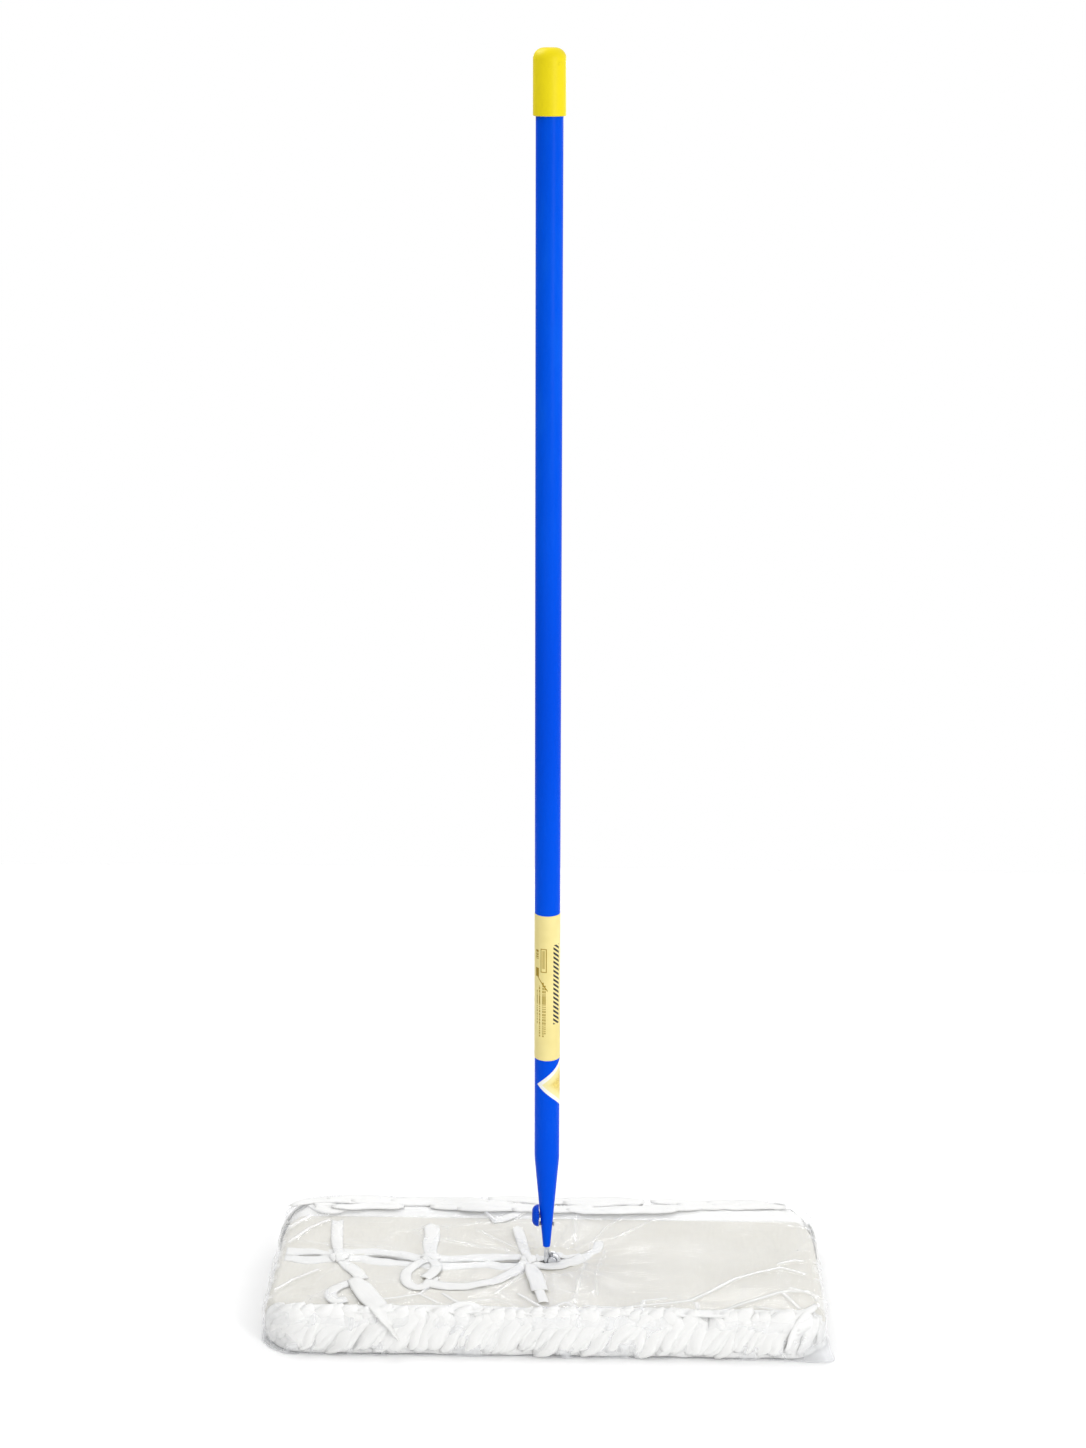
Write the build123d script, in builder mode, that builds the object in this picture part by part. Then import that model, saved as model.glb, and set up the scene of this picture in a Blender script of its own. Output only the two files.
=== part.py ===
from build123d import *
import os
from math import cos, radians, sin

os.makedirs("parts", exist_ok=True)

# Flat cotton mop in its clear packing bag. The origin is on the floor under the handle's axis,
# +X runs along the head's long side, +Y is the head's rear side, +Z is up the handle.

# Handle
tube_diameter = 25.0
tube_wall = 0.8
handle_length = 1182.0  # swaged tip to the top of the end cap
cone_length = 100.0
shoulder_radius = 90.0
cap_length = 59.0
cap_wall = 2.4
cap_top = 4.0
cap_corner = 10.0
cap_rim = 0.5
cap_grip = 0.1  # gap between the cap's bore and the tube
label_height = 153.0
label_rise = 210.5  # above the swaged tip
paper = 0.25
sticker_half_width = 29.0  # measured round the tube
sticker_half_height = 26.0
sticker_rise = 184.0
sticker_bearing = -5.0  # degrees from +X towards +Y
glue_gap = 0.03

# Rod and its eye
rod_diameter = 5.6
tip_rise = 15.8  # swaged tip above the eye's centre
eye_turn = 262.0  # degrees of wire round the eye
rod_fit = 0.1
rod_tab_thickness = 3.0
rod_tab_width = 7.0
rod_tab_height = 16.0
rod_tab_lap = 1.0  # how far the round rod runs up into its flattened tab
plug_start = 18.0  # above the swaged tip
plug_length = 49.0
plug_fit = 0.12

# Thumb screw and rivet through the cone
screw_rise = 34.0  # above the swaged tip
screw_diameter = 4.8
screw_fit = 0.2
screw_point = 0.5
knob_diameter = 22.0
knob_thickness = 6.8
knob_edge = 6.2
knob_stem_diameter = 8.0
knob_gap = 0.35
stem_lap = 1.0  # how far the stem runs into the knob
insert_wall = 0.9
insert_length = 4.0
rivet_rise = 25.0
rivet_diameter = 2.4
rivet_head_diameter = 4.4
rivet_head = 1.3
rivet_round = 0.78
rivet_fit = 0.05

# Knuckle
pin_diameter = 5.7
pin_head_diameter = 8.4
pin_head = 1.5
rivet_end_diameter = 7.2
rivet_end = 0.9
pin_round = 0.6
running = 0.05  # radial clearance of a turning fit
pressed = 0.01
side_play = 0.3
ear_thickness = 2.0
ear_radius = 6.6
ear_foot = 1.0  # how far the ear's foot runs above and below the sleeves' axis
eye_side_gap = 0.8  # between the eye and the sleeves beside it
eye_floor_gap = 0.6  # between the eye and the bridge wire under it
sleeve_diameter = 8.8
sleeve_length = 5.5
collar_length = 3.0
collar_diameter = 8.4

# Wire frame in the pocket
wire_diameter = 5.0
frame_half_length = 246.0
frame_half_width = 66.0
frame_corner = 34.0
cross_wire_place = 112.0
bridge_rise = 2.0  # the humped stretch above the frame's plane
hump_ramp = 10.0
hump_spare = 1.5
hump_bend = 6.0
weld_gap = 0.05

# Cotton head
pocket_half_length = 270.0
pocket_half_width = 103.0
pocket_corner = 30.0
pocket_height = 11.6
canvas = 1.2
soft_gap = 0.3
slit_half_width = 1.5
slit_end = 50.0
mouth_half_length = 14.0
mouth_half_width = 17.0
mouth_corner = 12.0
pad_height = 27.0
pad_edge = 8.0
front_fringe_depth = 8.5
rear_fringe_depth = 32.0
side_fringe_depth = 8.5
fringe_height = 43.0
rear_fringe_height = 46.0
fringe_edge = 3.0
fringe_corner = 38.0
fringe_side_gap = 0.5
corner_run = 8.0  # how far the long sides' strings run past the corners

# Tapes
binding_width = 14.0
bow_run = 20.0
tape = 0.9
tie_width = 13.0
knot_length = 13.0
knot_width = 17.0
knot_height = 4.6
knot_edge = 1.6

# Clear bag
film = 0.4
bag_room = 0.6
bag_rise = 48.0
neck_length = 66.0
neck_width = 56.0
neck_corner = 27.0

# Heights worked out from the floor up
pad_bottom = film + soft_gap
pad_top = pad_bottom + pad_height
backing_bottom = pad_top + soft_gap
backing_top = backing_bottom + canvas
frame_z = backing_top + soft_gap + wire_diameter / 2
pocket_bottom = backing_top + soft_gap
pocket_top_z = pocket_bottom + pocket_height
bridge_z = frame_z + bridge_rise
binding_z = pocket_top_z + soft_gap
tie_z = binding_z + tape + soft_gap

# The eye's centre: the rod hangs on the handle's axis and curls to +X
eye_bore = pin_diameter / 2 + running
eye_offset = eye_bore + rod_diameter / 2
eye_reach = eye_offset + rod_diameter / 2
eye_z = bridge_z + wire_diameter / 2 + eye_floor_gap + eye_reach
tip_z = eye_z + tip_rise
handle_top = tip_z + handle_length

# Cone
tube_radius = tube_diameter / 2
tip_radius = rod_diameter / 2 + rod_fit + tube_wall
tube_top = handle_top - cap_top
screw_z = tip_z + screw_rise
rivet_z = tip_z + rivet_rise


def cone_radius(rise):
    """Outside radius of the swaged cone at a height above its tip."""
    return tip_radius + (tube_radius - tip_radius) * rise / cone_length


# ---------------------------------------------------------------- handle

with BuildPart() as handle_tube:
    with BuildSketch(Plane.XZ):
        with BuildLine():
            FilletPolyline(
                (tip_radius, tip_z),
                (tube_radius, tip_z + cone_length),
                (tube_radius, tube_top),
                radius=shoulder_radius,
            )
            Line((tube_radius, tube_top), (tube_radius - tube_wall, tube_top))
            FilletPolyline(
                (tube_radius - tube_wall, tube_top),
                (tube_radius - tube_wall, tip_z + cone_length),
                (tip_radius - tube_wall, tip_z),
                radius=shoulder_radius,
            )
            Line((tip_radius - tube_wall, tip_z), (tip_radius, tip_z))
        make_face()
    revolve(axis=Axis.Z)
    with Locations(Plane.YZ.offset(-tube_radius)):
        with Locations((0, screw_z)):
            Cylinder(
                screw_diameter / 2 + screw_fit,
                tube_radius,
                align=(Align.CENTER, Align.CENTER, Align.MIN),
                mode=Mode.SUBTRACT,
            )
    with Locations(Plane.YZ):
        with Locations((0, rivet_z)):
            Cylinder(rivet_diameter / 2 + rivet_fit, tube_diameter, mode=Mode.SUBTRACT)
handle_tube.part.label = "handle_tube"
export_step(handle_tube.part, "parts/handle_tube.step")

cap_radius = tube_radius + cap_grip + cap_wall

with BuildPart() as end_cap:
    with BuildSketch(Plane.XZ):
        with BuildLine():
            FilletPolyline(
                (0, handle_top),
                (cap_radius, handle_top),
                (cap_radius, handle_top - cap_length),
                radius=cap_corner,
            )
            Polyline(
                (cap_radius, handle_top - cap_length),
                (tube_radius + cap_grip, handle_top - cap_length),
                (tube_radius + cap_grip, handle_top - cap_top + cap_grip),
                (0, handle_top - cap_top + cap_grip),
                (0, handle_top),
            )
        make_face()
    revolve(axis=Axis.Z)
    rim = end_cap.edges().filter_by(GeomType.CIRCLE).group_by(Axis.Z)[0]
    chamfer(rim.sort_by(SortBy.LENGTH)[-1], cap_rim)
end_cap.part.label = "end_cap"
export_step(end_cap.part, "parts/end_cap.step")

with BuildPart() as label:
    with BuildSketch(Plane.XY.offset(tip_z + label_rise)):
        Circle(tube_radius + glue_gap + paper)
        Circle(tube_radius + glue_gap, mode=Mode.SUBTRACT)
    extrude(amount=label_height)
label.part.label = "label"
export_step(label.part, "parts/label.step")

# The diamond wraps round the tube: each slice of it is drawn flat on its own tangent plane
slice_count = 12
slice_width = 2 * sticker_half_width / slice_count
sticker_z = tip_z + sticker_rise

with BuildPart() as diamond_sticker:
    for place in range(slice_count):
        along = (place - (slice_count - 1) / 2) * slice_width
        bearing = radians(sticker_bearing) + along / tube_radius
        slice_plane = Plane(
            origin=(0, 0, sticker_z),
            x_dir=(-sin(bearing), cos(bearing), 0),
            z_dir=(cos(bearing), sin(bearing), 0),
        )
        with BuildSketch(slice_plane):
            with Locations((-along, 0)):
                Polygon(
                    (-sticker_half_width, 0),
                    (0, -sticker_half_height),
                    (sticker_half_width, 0),
                    (0, sticker_half_height),
                    align=None,
                )
            Rectangle(slice_width, 2 * sticker_half_height, mode=Mode.INTERSECT)
        extrude(amount=tube_diameter)
    with BuildSketch(Plane.XY.offset(sticker_z - 2 * sticker_half_height)):
        Circle(tube_radius + glue_gap + paper)
        Circle(tube_radius + glue_gap, mode=Mode.SUBTRACT)
    extrude(amount=4 * sticker_half_height, mode=Mode.INTERSECT)
diamond_sticker.part.label = "diamond_sticker"
export_step(diamond_sticker.part, "parts/diamond_sticker.step")

# ---------------------------------------------------------------- rod, plug and screw

with BuildPart() as eye_rod:
    with BuildLine(Plane.XZ) as rod_line:
        Line((0, screw_z - rod_tab_height / 2 + rod_tab_lap), (0, eye_z))
        CenterArc((eye_offset, eye_z), eye_offset, 180, eye_turn)
    with BuildSketch(Plane.XY.offset(screw_z - rod_tab_height / 2 + rod_tab_lap)):
        Circle(rod_diameter / 2)
    sweep(path=rod_line.line)
    with Locations((0, 0, screw_z)):
        Box(rod_tab_thickness, rod_tab_width, rod_tab_height)
    with Locations(Plane.YZ):
        with Locations((0, rivet_z)):
            Cylinder(rivet_diameter / 2 + rivet_fit, tube_diameter, mode=Mode.SUBTRACT)
eye_rod.part.label = "eye_rod"
export_step(eye_rod.part, "parts/eye_rod.step")

plug_bottom = tip_z + plug_start
plug_top = plug_bottom + plug_length

with BuildPart() as taper_plug:
    with BuildSketch(Plane.XZ):
        Polygon(
            (0, plug_bottom),
            (cone_radius(plug_start) - tube_wall - plug_fit, plug_bottom),
            (cone_radius(plug_start + plug_length) - tube_wall - plug_fit, plug_top),
            (0, plug_top),
            align=None,
        )
    revolve(axis=Axis.Z)
    with Locations((0, 0, plug_bottom)):
        Cylinder(
            rod_diameter / 2 + rod_fit,
            screw_z - plug_bottom,
            align=(Align.CENTER, Align.CENTER, Align.MIN),
            mode=Mode.SUBTRACT,
        )
        Box(
            rod_tab_thickness + 2 * rod_fit,
            rod_tab_width + 2 * rod_fit,
            screw_z + rod_tab_height / 2 + rod_fit - plug_bottom,
            align=(Align.CENTER, Align.CENTER, Align.MIN),
            mode=Mode.SUBTRACT,
        )
    with Locations(Plane.YZ.offset(-tube_radius)):
        with Locations((0, screw_z)):
            Cylinder(
                screw_diameter / 2 + insert_wall + rivet_fit,
                tube_radius,
                align=(Align.CENTER, Align.CENTER, Align.MIN),
                mode=Mode.SUBTRACT,
            )
    with Locations(Plane.YZ):
        with Locations((0, rivet_z)):
            Cylinder(rivet_diameter / 2 + rivet_fit, tube_diameter, mode=Mode.SUBTRACT)
taper_plug.part.label = "taper_plug"
export_step(taper_plug.part, "parts/taper_plug.step")

with BuildPart() as screw_insert:
    with BuildSketch(Plane.YZ.offset(-rod_tab_thickness / 2 - rod_fit)):
        with Locations((0, screw_z)):
            Circle(screw_diameter / 2 + insert_wall)
            Circle(screw_diameter / 2 + running, mode=Mode.SUBTRACT)
    extrude(amount=-(insert_length - rod_tab_thickness / 2))
screw_insert.part.label = "screw_insert"
export_step(screw_insert.part, "parts/screw_insert.step")

knob_face = cone_radius(screw_rise + knob_diameter / 2) + knob_gap
stem_face = cone_radius(screw_rise + knob_stem_diameter / 2) + knob_gap

with BuildPart() as clamp_knob:
    with BuildSketch(Plane.YZ.offset(-knob_face)):
        with Locations((0, screw_z)):
            Circle(knob_diameter / 2)
    extrude(amount=-knob_thickness)
    fillet(clamp_knob.edges().group_by(Axis.X)[0], knob_edge)
    with BuildSketch(Plane.YZ.offset(-stem_face)):
        with Locations((0, screw_z)):
            Circle(knob_stem_diameter / 2)
    extrude(amount=-(knob_face - stem_face + stem_lap))
    with BuildSketch(Plane.YZ.offset(-stem_face)):
        with Locations((0, screw_z)):
            Circle(screw_diameter / 2 + pressed)
    extrude(amount=-(knob_face - stem_face + knob_thickness / 2), mode=Mode.SUBTRACT)
clamp_knob.part.label = "clamp_knob"
export_step(clamp_knob.part, "parts/clamp_knob.step")

with BuildPart() as thumb_screw:
    with BuildSketch(Plane.YZ.offset(-knob_face - knob_thickness / 2 + pressed)):
        with Locations((0, screw_z)):
            Circle(screw_diameter / 2)
    extrude(amount=knob_face + knob_thickness / 2 - rod_tab_thickness / 2 - rod_fit)
    chamfer(thumb_screw.edges().group_by(Axis.X)[-1], screw_point)
thumb_screw.part.label = "thumb_screw"
export_step(thumb_screw.part, "parts/thumb_screw.step")

rivet_face = cone_radius(rivet_rise + rivet_head_diameter / 2) + rivet_fit

with BuildPart() as cross_rivet:
    with Locations(Plane.YZ):
        with Locations((0, rivet_z)):
            Cylinder(rivet_diameter / 2, 2 * rivet_face)
    with Locations(Plane.YZ.offset(rivet_face), Plane.YZ.offset(-rivet_face - rivet_head)):
        with Locations((0, rivet_z)):
            Cylinder(
                rivet_head_diameter / 2,
                rivet_head,
                align=(Align.CENTER, Align.CENTER, Align.MIN),
            )
    ends = cross_rivet.edges().filter_by(GeomType.CIRCLE).group_by(Axis.X)
    fillet(ends[0] + ends[-1], rivet_round)
cross_rivet.part.label = "cross_rivet"
export_step(cross_rivet.part, "parts/cross_rivet.step")

# ---------------------------------------------------------------- knuckle

ear_face = rod_diameter / 2 + side_play
eye_reach_side = eye_reach + eye_side_gap
sleeve_end = eye_reach_side + sleeve_length
ear_rise = eye_z - bridge_z

with BuildPart() as knuckle_yoke:
    for side in (-1, 1):
        with Locations(Plane.YZ.offset(eye_offset + side * (eye_reach_side + sleeve_length / 2))):
            with Locations((0, bridge_z)):
                Cylinder(sleeve_diameter / 2, sleeve_length)
    with BuildSketch(Plane.XZ.offset(-ear_face)):
        with Locations((eye_offset, bridge_z)):
            Polygon(
                (-sleeve_end, -ear_foot),
                (sleeve_end, -ear_foot),
                (sleeve_end, ear_foot),
                (ear_radius, ear_rise),
                (-ear_radius, ear_rise),
                (-sleeve_end, ear_foot),
                align=None,
            )
        with Locations((eye_offset, eye_z)):
            Circle(ear_radius)
    extrude(amount=-ear_thickness)
    with Locations(Plane.YZ.offset(eye_offset)):
        with Locations((0, bridge_z)):
            Cylinder(wire_diameter / 2 + running, 3 * sleeve_end, mode=Mode.SUBTRACT)
    with Locations(Plane.XZ):
        with Locations((eye_offset, eye_z)):
            Cylinder(pin_diameter / 2 + pressed, 4 * ear_face, mode=Mode.SUBTRACT)
knuckle_yoke.part.label = "knuckle_yoke"
export_step(knuckle_yoke.part, "parts/knuckle_yoke.step")

pin_front = ear_face
pin_rear = ear_face + ear_thickness

with BuildPart() as pivot_pin:
    with BuildSketch(Plane.XZ.offset(pin_front)):
        with Locations((eye_offset, eye_z)):
            Circle(pin_diameter / 2)
    extrude(amount=-(pin_front + pin_rear))
    with BuildSketch(Plane.XZ.offset(pin_front)):
        with Locations((eye_offset, eye_z)):
            Circle(pin_head_diameter / 2)
    extrude(amount=pin_head)
    with BuildSketch(Plane.XZ.offset(-pin_rear - weld_gap)):
        with Locations((eye_offset, eye_z)):
            Circle(rivet_end_diameter / 2)
    extrude(amount=-rivet_end)
    with BuildSketch(Plane.XZ.offset(-pin_rear)):
        with Locations((eye_offset, eye_z)):
            Circle(pin_diameter / 2)
    extrude(amount=-weld_gap)
    heads = pivot_pin.edges().filter_by(GeomType.CIRCLE).group_by(Axis.Y)
    fillet(heads[0] + heads[-1], pin_round)
pivot_pin.part.label = "pivot_pin"
export_step(pivot_pin.part, "parts/pivot_pin.step")

# ---------------------------------------------------------------- wire frame

with BuildSketch(Plane.XY.offset(frame_z)) as loop_outline:
    RectangleRounded(2 * frame_half_length, 2 * frame_half_width, frame_corner)

with BuildPart() as frame_loop:
    with BuildSketch(Plane(origin=(0, -frame_half_width, frame_z), z_dir=(1, 0, 0))):
        Circle(wire_diameter / 2)
    sweep(path=loop_outline.face().outer_wire(), transition=Transition.ROUND)
frame_loop.part.label = "frame_loop"
export_step(frame_loop.part, "parts/frame_loop.step")

cross_half_length = frame_half_width - wire_diameter / 2 - weld_gap

with BuildPart() as frame_cross_wires:
    for side in (-1, 1):
        with Locations(Plane.XZ):
            with Locations((side * cross_wire_place, frame_z)):
                Cylinder(wire_diameter / 2, 2 * cross_half_length)
frame_cross_wires.part.label = "frame_cross_wires"
export_step(frame_cross_wires.part, "parts/frame_cross_wires.step")

bridge_end = cross_wire_place - wire_diameter / 2 - weld_gap
hump_reach = sleeve_end + collar_length + 2 * side_play + hump_spare

with BuildPart() as frame_bridge:
    with BuildLine(Plane.XZ) as bridge_line:
        FilletPolyline(
            (-bridge_end, frame_z),
            (eye_offset - hump_reach - hump_ramp, frame_z),
            (eye_offset - hump_reach, bridge_z),
            (eye_offset + hump_reach, bridge_z),
            (eye_offset + hump_reach + hump_ramp, frame_z),
            (bridge_end, frame_z),
            radius=hump_bend,
        )
    with BuildSketch(Plane(origin=(-bridge_end, 0, frame_z), z_dir=(1, 0, 0))):
        Circle(wire_diameter / 2)
    sweep(path=bridge_line.line)
frame_bridge.part.label = "frame_bridge"
export_step(frame_bridge.part, "parts/frame_bridge.step")

with BuildPart() as stop_collars:
    for side in (-1, 1):
        place = eye_offset + side * (sleeve_end + side_play + collar_length / 2)
        with BuildSketch(Plane.YZ.offset(place - collar_length / 2)):
            with Locations((0, bridge_z)):
                Circle(collar_diameter / 2)
                Circle(wire_diameter / 2 + weld_gap, mode=Mode.SUBTRACT)
        extrude(amount=collar_length)
stop_collars.part.label = "stop_collars"
export_step(stop_collars.part, "parts/stop_collars.step")

# ---------------------------------------------------------------- cotton head

with BuildPart() as pocket_backing:
    with BuildSketch(Plane.XY.offset(backing_bottom)):
        RectangleRounded(2 * pocket_half_length, 2 * pocket_half_width, pocket_corner)
    extrude(amount=canvas)
pocket_backing.part.label = "pocket_backing"
export_step(pocket_backing.part, "parts/pocket_backing.step")

with BuildPart() as pocket_top:
    with BuildSketch(Plane.XY.offset(pocket_bottom)):
        RectangleRounded(2 * pocket_half_length, 2 * pocket_half_width, pocket_corner)
    extrude(amount=pocket_height)
    with BuildSketch(Plane.XY.offset(pocket_bottom)):
        RectangleRounded(
            2 * (pocket_half_length - canvas),
            2 * (pocket_half_width - canvas),
            pocket_corner - canvas,
        )
    extrude(amount=pocket_height - canvas, mode=Mode.SUBTRACT)
    # The slit runs from the left end past the handle, and opens into a mouth around it
    with BuildSketch(Plane.XY.offset(pocket_bottom)):
        with Locations((-pocket_half_length - canvas, 0)):
            Rectangle(
                pocket_half_length + canvas + slit_end,
                2 * slit_half_width,
                align=(Align.MIN, Align.CENTER),
            )
        with Locations((eye_offset, 0)):
            RectangleRounded(2 * mouth_half_length, 2 * mouth_half_width, mouth_corner)
    extrude(amount=2 * pocket_height, mode=Mode.SUBTRACT)
pocket_top.part.label = "pocket_top"
export_step(pocket_top.part, "parts/pocket_top.step")

with BuildPart() as fringe_pad:
    with BuildSketch(Plane.XY.offset(pad_bottom)):
        RectangleRounded(2 * pocket_half_length, 2 * pocket_half_width, pocket_corner)
    extrude(amount=pad_height)
    fillet(fringe_pad.edges().group_by(Axis.Z)[0], pad_edge)
fringe_pad.part.label = "fringe_pad"
export_step(fringe_pad.part, "parts/fringe_pad.step")

fringe_front = pocket_half_width + fringe_side_gap + front_fringe_depth
fringe_rear = pocket_half_width + fringe_side_gap + rear_fringe_depth
fringe_side = pocket_half_length + fringe_side_gap + side_fringe_depth
fringe_middle = (fringe_rear - fringe_front) / 2
corner_line = pocket_half_width - pocket_corner - corner_run


def fringe(height, low_y, high_y, low_x=-2 * fringe_side, high_x=2 * fringe_side):
    """Strings of one height round the pocket's edge, between limits along Y and along X."""
    with BuildPart() as strings:
        with BuildSketch(Plane.XY.offset(pad_bottom)):
            with Locations((0, fringe_middle)):
                RectangleRounded(2 * fringe_side, fringe_front + fringe_rear, fringe_corner)
            RectangleRounded(
                2 * (pocket_half_length + fringe_side_gap),
                2 * (pocket_half_width + fringe_side_gap),
                pocket_corner + fringe_side_gap,
                mode=Mode.SUBTRACT,
            )
            with Locations((low_x, low_y)):
                Rectangle(
                    high_x - low_x,
                    high_y - low_y,
                    align=(Align.MIN, Align.MIN),
                    mode=Mode.INTERSECT,
                )
        extrude(amount=height)
        chamfer(strings.edges().group_by(Axis.Z)[-1], fringe_edge)
    return strings.part


front_fringe = fringe(fringe_height, -2 * fringe_front, -corner_line)
front_fringe.label = "front_fringe"
export_step(front_fringe, "parts/front_fringe.step")

rear_fringe = fringe(rear_fringe_height, corner_line, 2 * fringe_rear)
rear_fringe.label = "rear_fringe"
export_step(rear_fringe, "parts/rear_fringe.step")

side_limit = corner_line - fringe_side_gap

left_fringe = fringe(fringe_height, -side_limit, side_limit, high_x=0)
left_fringe.label = "left_fringe"
export_step(left_fringe, "parts/left_fringe.step")

right_fringe = fringe(fringe_height, -side_limit, side_limit, low_x=0)
right_fringe.label = "right_fringe"
export_step(right_fringe, "parts/right_fringe.step")

# ---------------------------------------------------------------- tapes


def binding(side):
    """Tape sewn along one lip of the slit; side is -1 for the front and 1 for the rear."""
    mouth_start = eye_offset - mouth_half_length
    mouth_end = eye_offset + mouth_half_length
    straight = side * (slit_half_width + binding_width / 2)
    bowed = side * (mouth_half_width + binding_width / 2)
    with BuildPart() as strip:
        with BuildSketch(Plane.XY.offset(binding_z)):
            with BuildLine():
                Polyline(
                    (-pocket_half_length, straight),
                    (mouth_start - bow_run, straight),
                    (mouth_start, bowed),
                    (mouth_end, bowed),
                    (mouth_end + bow_run, straight),
                    (slit_end + bow_run, straight),
                )
            trace(line_width=binding_width)
        extrude(amount=tape)
    return strip.part


front_binding = binding(-1)
front_binding.label = "front_binding"
export_step(front_binding, "parts/front_binding.step")

rear_binding = binding(1)
rear_binding.label = "rear_binding"
export_step(rear_binding, "parts/rear_binding.step")


def tie(knot_x, runs):
    """A knot across the slit with the flat tapes that leave it, each a list of points."""
    with BuildPart() as tied:
        for run in runs:
            with BuildSketch(Plane.XY.offset(tie_z)):
                with BuildLine():
                    Polyline(*run)
                trace(line_width=tie_width)
            extrude(amount=tape)
        with Locations((knot_x, 0, tie_z)):
            Box(
                knot_length,
                knot_width,
                knot_height,
                align=(Align.CENTER, Align.CENTER, Align.MIN),
            )
        chamfer(tied.edges().group_by(Axis.Z)[-1], knot_edge)
    return tied.part


tie_left = tie(-217, [[(-217, 0), (-228, 80)], [(-217, 0), (-189, -52), (-168, -96)]])
tie_left.label = "tie_left"
export_step(tie_left, "parts/tie_left.step")

tie_middle = tie(-121, [[(-121, 0), (-126, 69)], [(-121, 0), (-145, -36), (-132, -66), (-114, -60)]])
tie_middle.label = "tie_middle"
export_step(tie_middle, "parts/tie_middle.step")

tie_right = tie(-24, [[(-24, 0), (-32, 76)], [(-24, 0), (-16, -36), (0, -72)]])
tie_right.label = "tie_right"
export_step(tie_right, "parts/tie_right.step")

with BuildPart() as link_tape:
    with BuildSketch(Plane.XY.offset(binding_z)):
        with BuildLine():
            Polyline((-104, -52), (-76, -51), (-52, -40), (-38, -22))
        trace(line_width=tie_width)
    extrude(amount=tape)
link_tape.part.label = "link_tape"
export_step(link_tape.part, "parts/link_tape.step")

# ---------------------------------------------------------------- clear bag

bag_half_length = fringe_side + bag_room + film
bag_front = -(fringe_front + bag_room + film)
bag_rear = fringe_rear + bag_room + film
bag_width = bag_rear - bag_front
bag_middle = (bag_rear + bag_front) / 2
bag_corner = fringe_corner + bag_room + film

with BuildPart() as clear_bag:
    with BuildSketch():
        with Locations((0, bag_middle)):
            RectangleRounded(2 * bag_half_length, bag_width, bag_corner)
    extrude(amount=bag_rise)
    with BuildSketch(Plane.XY.offset(film)):
        with Locations((0, bag_middle)):
            RectangleRounded(2 * (bag_half_length - film), bag_width - 2 * film, bag_corner - film)
    extrude(amount=bag_rise - 2 * film, mode=Mode.SUBTRACT)
    with BuildSketch(Plane.XY.offset(bag_rise - film)):
        with Locations((eye_offset, 0)):
            RectangleRounded(neck_length, neck_width, neck_corner)
    extrude(amount=film, mode=Mode.SUBTRACT)
clear_bag.part.label = "clear_bag"
export_step(clear_bag.part, "parts/clear_bag.step")
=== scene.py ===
import math

import bpy
import numpy as np
from mathutils import Matrix, Vector


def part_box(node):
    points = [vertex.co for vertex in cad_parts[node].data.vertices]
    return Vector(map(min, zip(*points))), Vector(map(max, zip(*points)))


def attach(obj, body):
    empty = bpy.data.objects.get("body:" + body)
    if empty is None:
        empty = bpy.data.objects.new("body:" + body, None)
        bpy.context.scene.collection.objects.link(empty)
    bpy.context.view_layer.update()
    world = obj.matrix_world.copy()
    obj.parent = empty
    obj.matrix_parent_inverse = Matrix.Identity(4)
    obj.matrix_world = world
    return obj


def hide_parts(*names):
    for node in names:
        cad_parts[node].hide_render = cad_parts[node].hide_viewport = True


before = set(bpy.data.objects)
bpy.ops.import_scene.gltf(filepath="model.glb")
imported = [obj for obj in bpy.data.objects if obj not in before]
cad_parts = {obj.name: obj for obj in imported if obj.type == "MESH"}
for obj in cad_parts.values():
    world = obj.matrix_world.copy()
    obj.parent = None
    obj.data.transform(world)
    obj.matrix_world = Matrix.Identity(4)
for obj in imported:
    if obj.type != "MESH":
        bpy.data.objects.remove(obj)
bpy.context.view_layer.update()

# Metres throughout. +X runs along the head, -Y is its front, +Z is up the handle.

# ---------------------------------------------------------------- camera
# A long lens a little above the top of the handle, looking down at the head from its front.

view_distance = 2.2932
view_height = 1.2993
view_bearing = math.radians(1.1937)  # from the front towards +X
view_pitch = math.radians(16.562)
view_roll = math.radians(0.153)

camera = bpy.data.objects.new("camera", bpy.data.cameras.new("camera"))
bpy.context.scene.collection.objects.link(camera)
bpy.context.scene.camera = camera
camera.data.lens = 62.07
camera.data.shift_x = -0.00345
camera.data.clip_start = 0.05

flat_way = Vector((-math.sin(view_bearing), math.cos(view_bearing), 0))
forward = flat_way * math.cos(view_pitch) - Vector((0, 0, math.sin(view_pitch)))
level = forward.cross(Vector((0, 0, 1))).normalized()
upright = level.cross(forward)
right = level * math.cos(view_roll) + upright * math.sin(view_roll)
above = upright * math.cos(view_roll) - level * math.sin(view_roll)
turn = Matrix((right, above, -forward)).transposed().to_4x4()
stand = Vector((view_distance * math.sin(view_bearing), -view_distance * math.cos(view_bearing), view_height))
camera.matrix_world = Matrix.Translation(stand) @ turn

# ---------------------------------------------------------------- studio
# A white floor that runs into a white surround, large soft lights above and to the right, a low one
# in front, and two narrow ones whose reflections catch the creases of the bag.

bpy.context.scene.view_settings.view_transform = "Standard"


def shaded(name, **settings):
    """A new material and its shader, with plain numbers and colours set on the shader's sockets."""
    material = bpy.data.materials.new(name)
    material.use_nodes = True
    shader = material.node_tree.nodes["Principled BSDF"]
    for socket, value in settings.items():
        shader.inputs[socket.replace("_", " ")].default_value = value
    return material, shader


def piece(name, points, faces, smooth=True):
    """A mesh object from points and faces."""
    mesh = bpy.data.meshes.new(name)
    mesh.from_pydata([tuple(map(float, point)) for point in points], [], [tuple(map(int, face)) for face in faces])
    mesh.polygons.foreach_set("use_smooth", [smooth] * len(mesh.polygons))
    made = bpy.data.objects.new(name, mesh)
    bpy.context.scene.collection.objects.link(made)
    return made


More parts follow.
